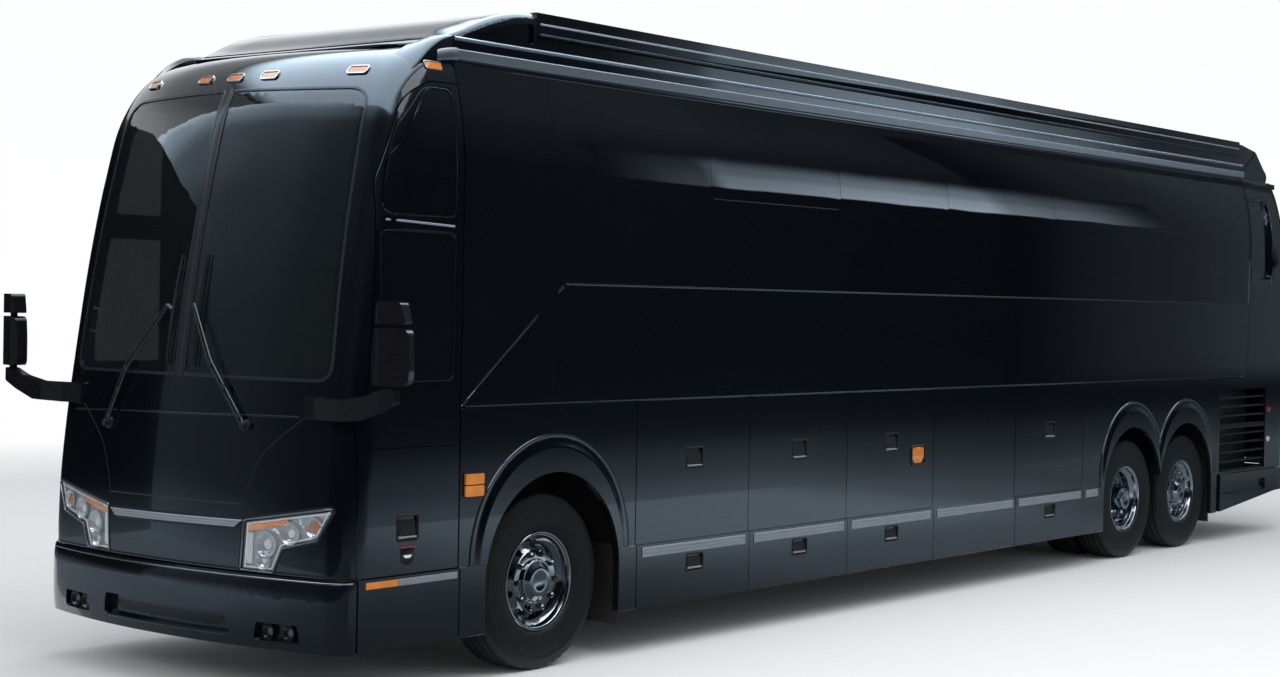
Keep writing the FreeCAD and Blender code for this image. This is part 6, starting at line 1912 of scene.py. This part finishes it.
# Each card as its name, the axis that it faces, its place on it, two corners, its glow and the least glow
CARDS = (
    ("side_card_left", 0, 7.5, (-16.0, 0.0), (60.0, 14.0), SIDE_GLOW, 0.0),
    ("side_card_right", 0, -7.5, (-16.0, 0.0), (60.0, 5.4), SIDE_GLOW, 0.0),
    ("streak_card_left", 0, 7.4, (3.0, 4.08), (17.5, 5.8), STREAK_GLOW, 0.02),
    ("streak_card_right", 0, -7.4, (3.0, 4.08), (17.5, 5.8), STREAK_GLOW, 0.02),
    ("rear_card_left", 0, 7.45, (12.0, 1.0), (60.0, 9.0), REAR_GLOW, 0.0),
    ("rear_card_right", 0, -7.45, (12.0, 1.0), (60.0, 9.0), REAR_GLOW, 0.0),
    ("end_card", 1, 11.0, (-2.5, 0.0), (2.5, 8.0), END_GLOW, 0.0),
    ("front_card", 1, -12.0, (-30.0, 0.0), (12.0, 9.0), FRONT_GLOW, 0.0),
    ("sky_card", 2, 9.5, (-7.4, -18.0), (4.5, 30.0), SKY_GLOW, 0.0),
    ("floor_card", 2, 0.004, (1.4, -7.0), (7.5, 60.0), FLOOR_GLOW, 0.0),
    ("front_floor_card", 2, 0.004, (-30.0, -12.0), (7.5, -7.0), FRONT_FLOOR_GLOW, 0.0),
)

# Each lamp as its name, place, size, share of the key light's power and aim
STUDIO_LAMPS = (
    ("key_light", (3.0, -2.0, 11.0), (9.0, 16.0), 1.0, (0.0, 0.0, 0.0)),
    ("front_light", (4.0, -17.0, 7.0), (8.0, 4.0), 0.35, (0.0, -5.0, 1.5)),
)
BACKDROP = ((0.30, 1.0), (0.5, 0.35), (0.68, 0.3), (0.82, 0.8))
FLOOR_REACH = 160.0
SENSOR = 36.0
CLIP_END = 400.0
FLOOR_FADE = (11.0, 17.0)


def looked_at(tree):
    """1 for what the camera, gloss and glass see."""
    rays = tree.nodes.new("ShaderNodeLightPath")
    seen = maths(tree, "MAXIMUM", rays.outputs["Is Camera Ray"], rays.outputs["Is Glossy Ray"])
    return maths(tree, "MAXIMUM", seen, rays.outputs["Is Transmission Ray"])


class COACH_OT_stage(bpy.types.Operator):
    """Sets up the pale floor, the soft light and the camera"""
    bl_idname = "coach.stage"
    bl_label = "Stage"

    def execute(self, context):
        wish = context.scene.coach_stage
        self.world(context)
        self.floor()
        self.lamps(wish)
        for card in CARDS:
            reflection_card(*card)
        camera = bpy.data.objects.new("camera", bpy.data.cameras.new("camera"))
        camera.data.lens = wish.camera_lens
        camera.data.sensor_width = SENSOR
        camera.data.clip_end = CLIP_END
        camera.matrix_world = camera_matrix(wish.camera_place, wish.camera_turn)
        context.scene.collection.objects.link(camera)
        context.scene.camera = camera
        context.scene.view_settings.view_transform = "Standard"
        return {"FINISHED"}

    def world(self, context):
        world = bpy.data.worlds.new("studio")
        context.scene.world = world
        world.use_nodes = True
        tree = world.node_tree
        tree.nodes.clear()
        spots = add_node(tree, "ShaderNodeTexCoord").outputs["Generated"]
        split = add_node(tree, "ShaderNodeSeparateXYZ", {"Vector": spots})
        ramp = add_node(tree, "ShaderNodeValToRGB", {"Fac": split.outputs["Z"]})
        elements = ramp.color_ramp.elements
        ramp.color_ramp.interpolation = "EASE"
        for position, level in BACKDROP:
            elements.new(position).color = (level * 0.96, level, level * 1.04, 1.0)
        elements[0].color = (1, 1, 1, 1)
        elements[-1].color = (0.9, 0.95, 1.0, 1)
        backdrop = add_node(tree, "ShaderNodeBackground", {"Color": ramp.outputs["Color"]})
        room = add_node(tree, "ShaderNodeBackground", {"Color": (0.95, 0.97, 1.0, 1.0), "Strength": 0.7})
        mix = add_node(tree, "ShaderNodeMixShader", {
            "Fac": looked_at(tree), 1: room.outputs["Background"], 2: backdrop.outputs["Background"]})
        add_node(tree, "ShaderNodeOutputWorld", {"Surface": mix.outputs["Shader"]})

    def floor(self):
        r = FLOOR_REACH
        floor = Form().add([(-r, -r, 0), (r, -r, 0), (r, r, 0), (-r, r, 0)], [(0, 1, 2, 3)]).object("floor")
        pale = Finish("studio_floor", (0.86, 0.865, 0.87), 0.65)
        pale.set("Specular IOR Level", 0.0)
        pale.blend_colour(pale.noise(0.4, 4.0), (0.83, 0.835, 0.84))
        far = pale.add("ShaderNodeVectorMath", {0: pale.spots}, operation="LENGTH")
        fade = pale.span(far.outputs["Value"], FLOOR_FADE[0], FLOOR_FADE[1], 0.0, 1.0)
        white = pale.add("ShaderNodeEmission", {"Color": (1.0, 1.0, 1.0, 1.0)})
        mix = pale.add("ShaderNodeMixShader", {
            "Fac": pale.product(fade, looked_at(pale.tree)), 1: pale.shader.outputs["BSDF"],
            2: white.outputs["Emission"]})
        pale.link(mix.outputs["Shader"], pale.tree.nodes["Material Output"].inputs["Surface"])
        floor.data.materials.append(pale.material)

    def lamps(self, wish):
        for name, place, size, share, aim in STUDIO_LAMPS:
            light = bpy.data.lights.new(name, "AREA")
            light.shape = "RECTANGLE"
            light.size, light.size_y = size
            light.energy = wish.key_power * share
            lamp = bpy.data.objects.new(name, light)
            lamp.location = place
            lamp.rotation_euler = (Vector(aim) - Vector(place)).to_track_quat("-Z", "Y").to_euler()
            bpy.context.scene.collection.objects.link(lamp)


OPERATORS = (COACH_OT_body, COACH_OT_glass, COACH_OT_underparts, COACH_OT_wheels, COACH_OT_lamps,
             COACH_OT_trim, COACH_OT_front, COACH_OT_fittings, COACH_OT_roof, COACH_OT_rear, COACH_OT_cab,
             COACH_OT_stage)
GROUPS = (CoachFinish, CoachWheels, CoachStage)


class COACH_PT_panel(bpy.types.Panel):
    """The coach's pieces, sizes and colours"""
    bl_idname = "COACH_PT_panel"
    bl_label = "Coach"
    bl_space_type = "VIEW_3D"
    bl_region_type = "UI"
    bl_category = "Coach"

    def draw(self, context):
        for holder in (context.scene.coach_finish, context.scene.coach_wheels, context.scene.coach_stage):
            box = self.layout.box()
            for name in holder.bl_rna.properties.keys():
                if name not in ("rna_type", "name"):
                    box.prop(holder, name)
        for operator in OPERATORS:
            self.layout.operator(operator.bl_idname)


def register():
    for item in GROUPS + OPERATORS + (COACH_PT_panel,):
        bpy.utils.register_class(item)
    bpy.types.Scene.coach_finish = PointerProperty(type=CoachFinish)
    bpy.types.Scene.coach_wheels = PointerProperty(type=CoachWheels)
    bpy.types.Scene.coach_stage = PointerProperty(type=CoachStage)


def unregister():
    del bpy.types.Scene.coach_finish
    del bpy.types.Scene.coach_wheels
    del bpy.types.Scene.coach_stage
    for item in reversed(GROUPS + OPERATORS + (COACH_PT_panel,)):
        bpy.utils.unregister_class(item)


def main():
    register()
    for operator in OPERATORS:
        group, name = operator.bl_idname.split(".")
        getattr(getattr(bpy.ops, group), name)()


if __name__ == "__main__":
    main()
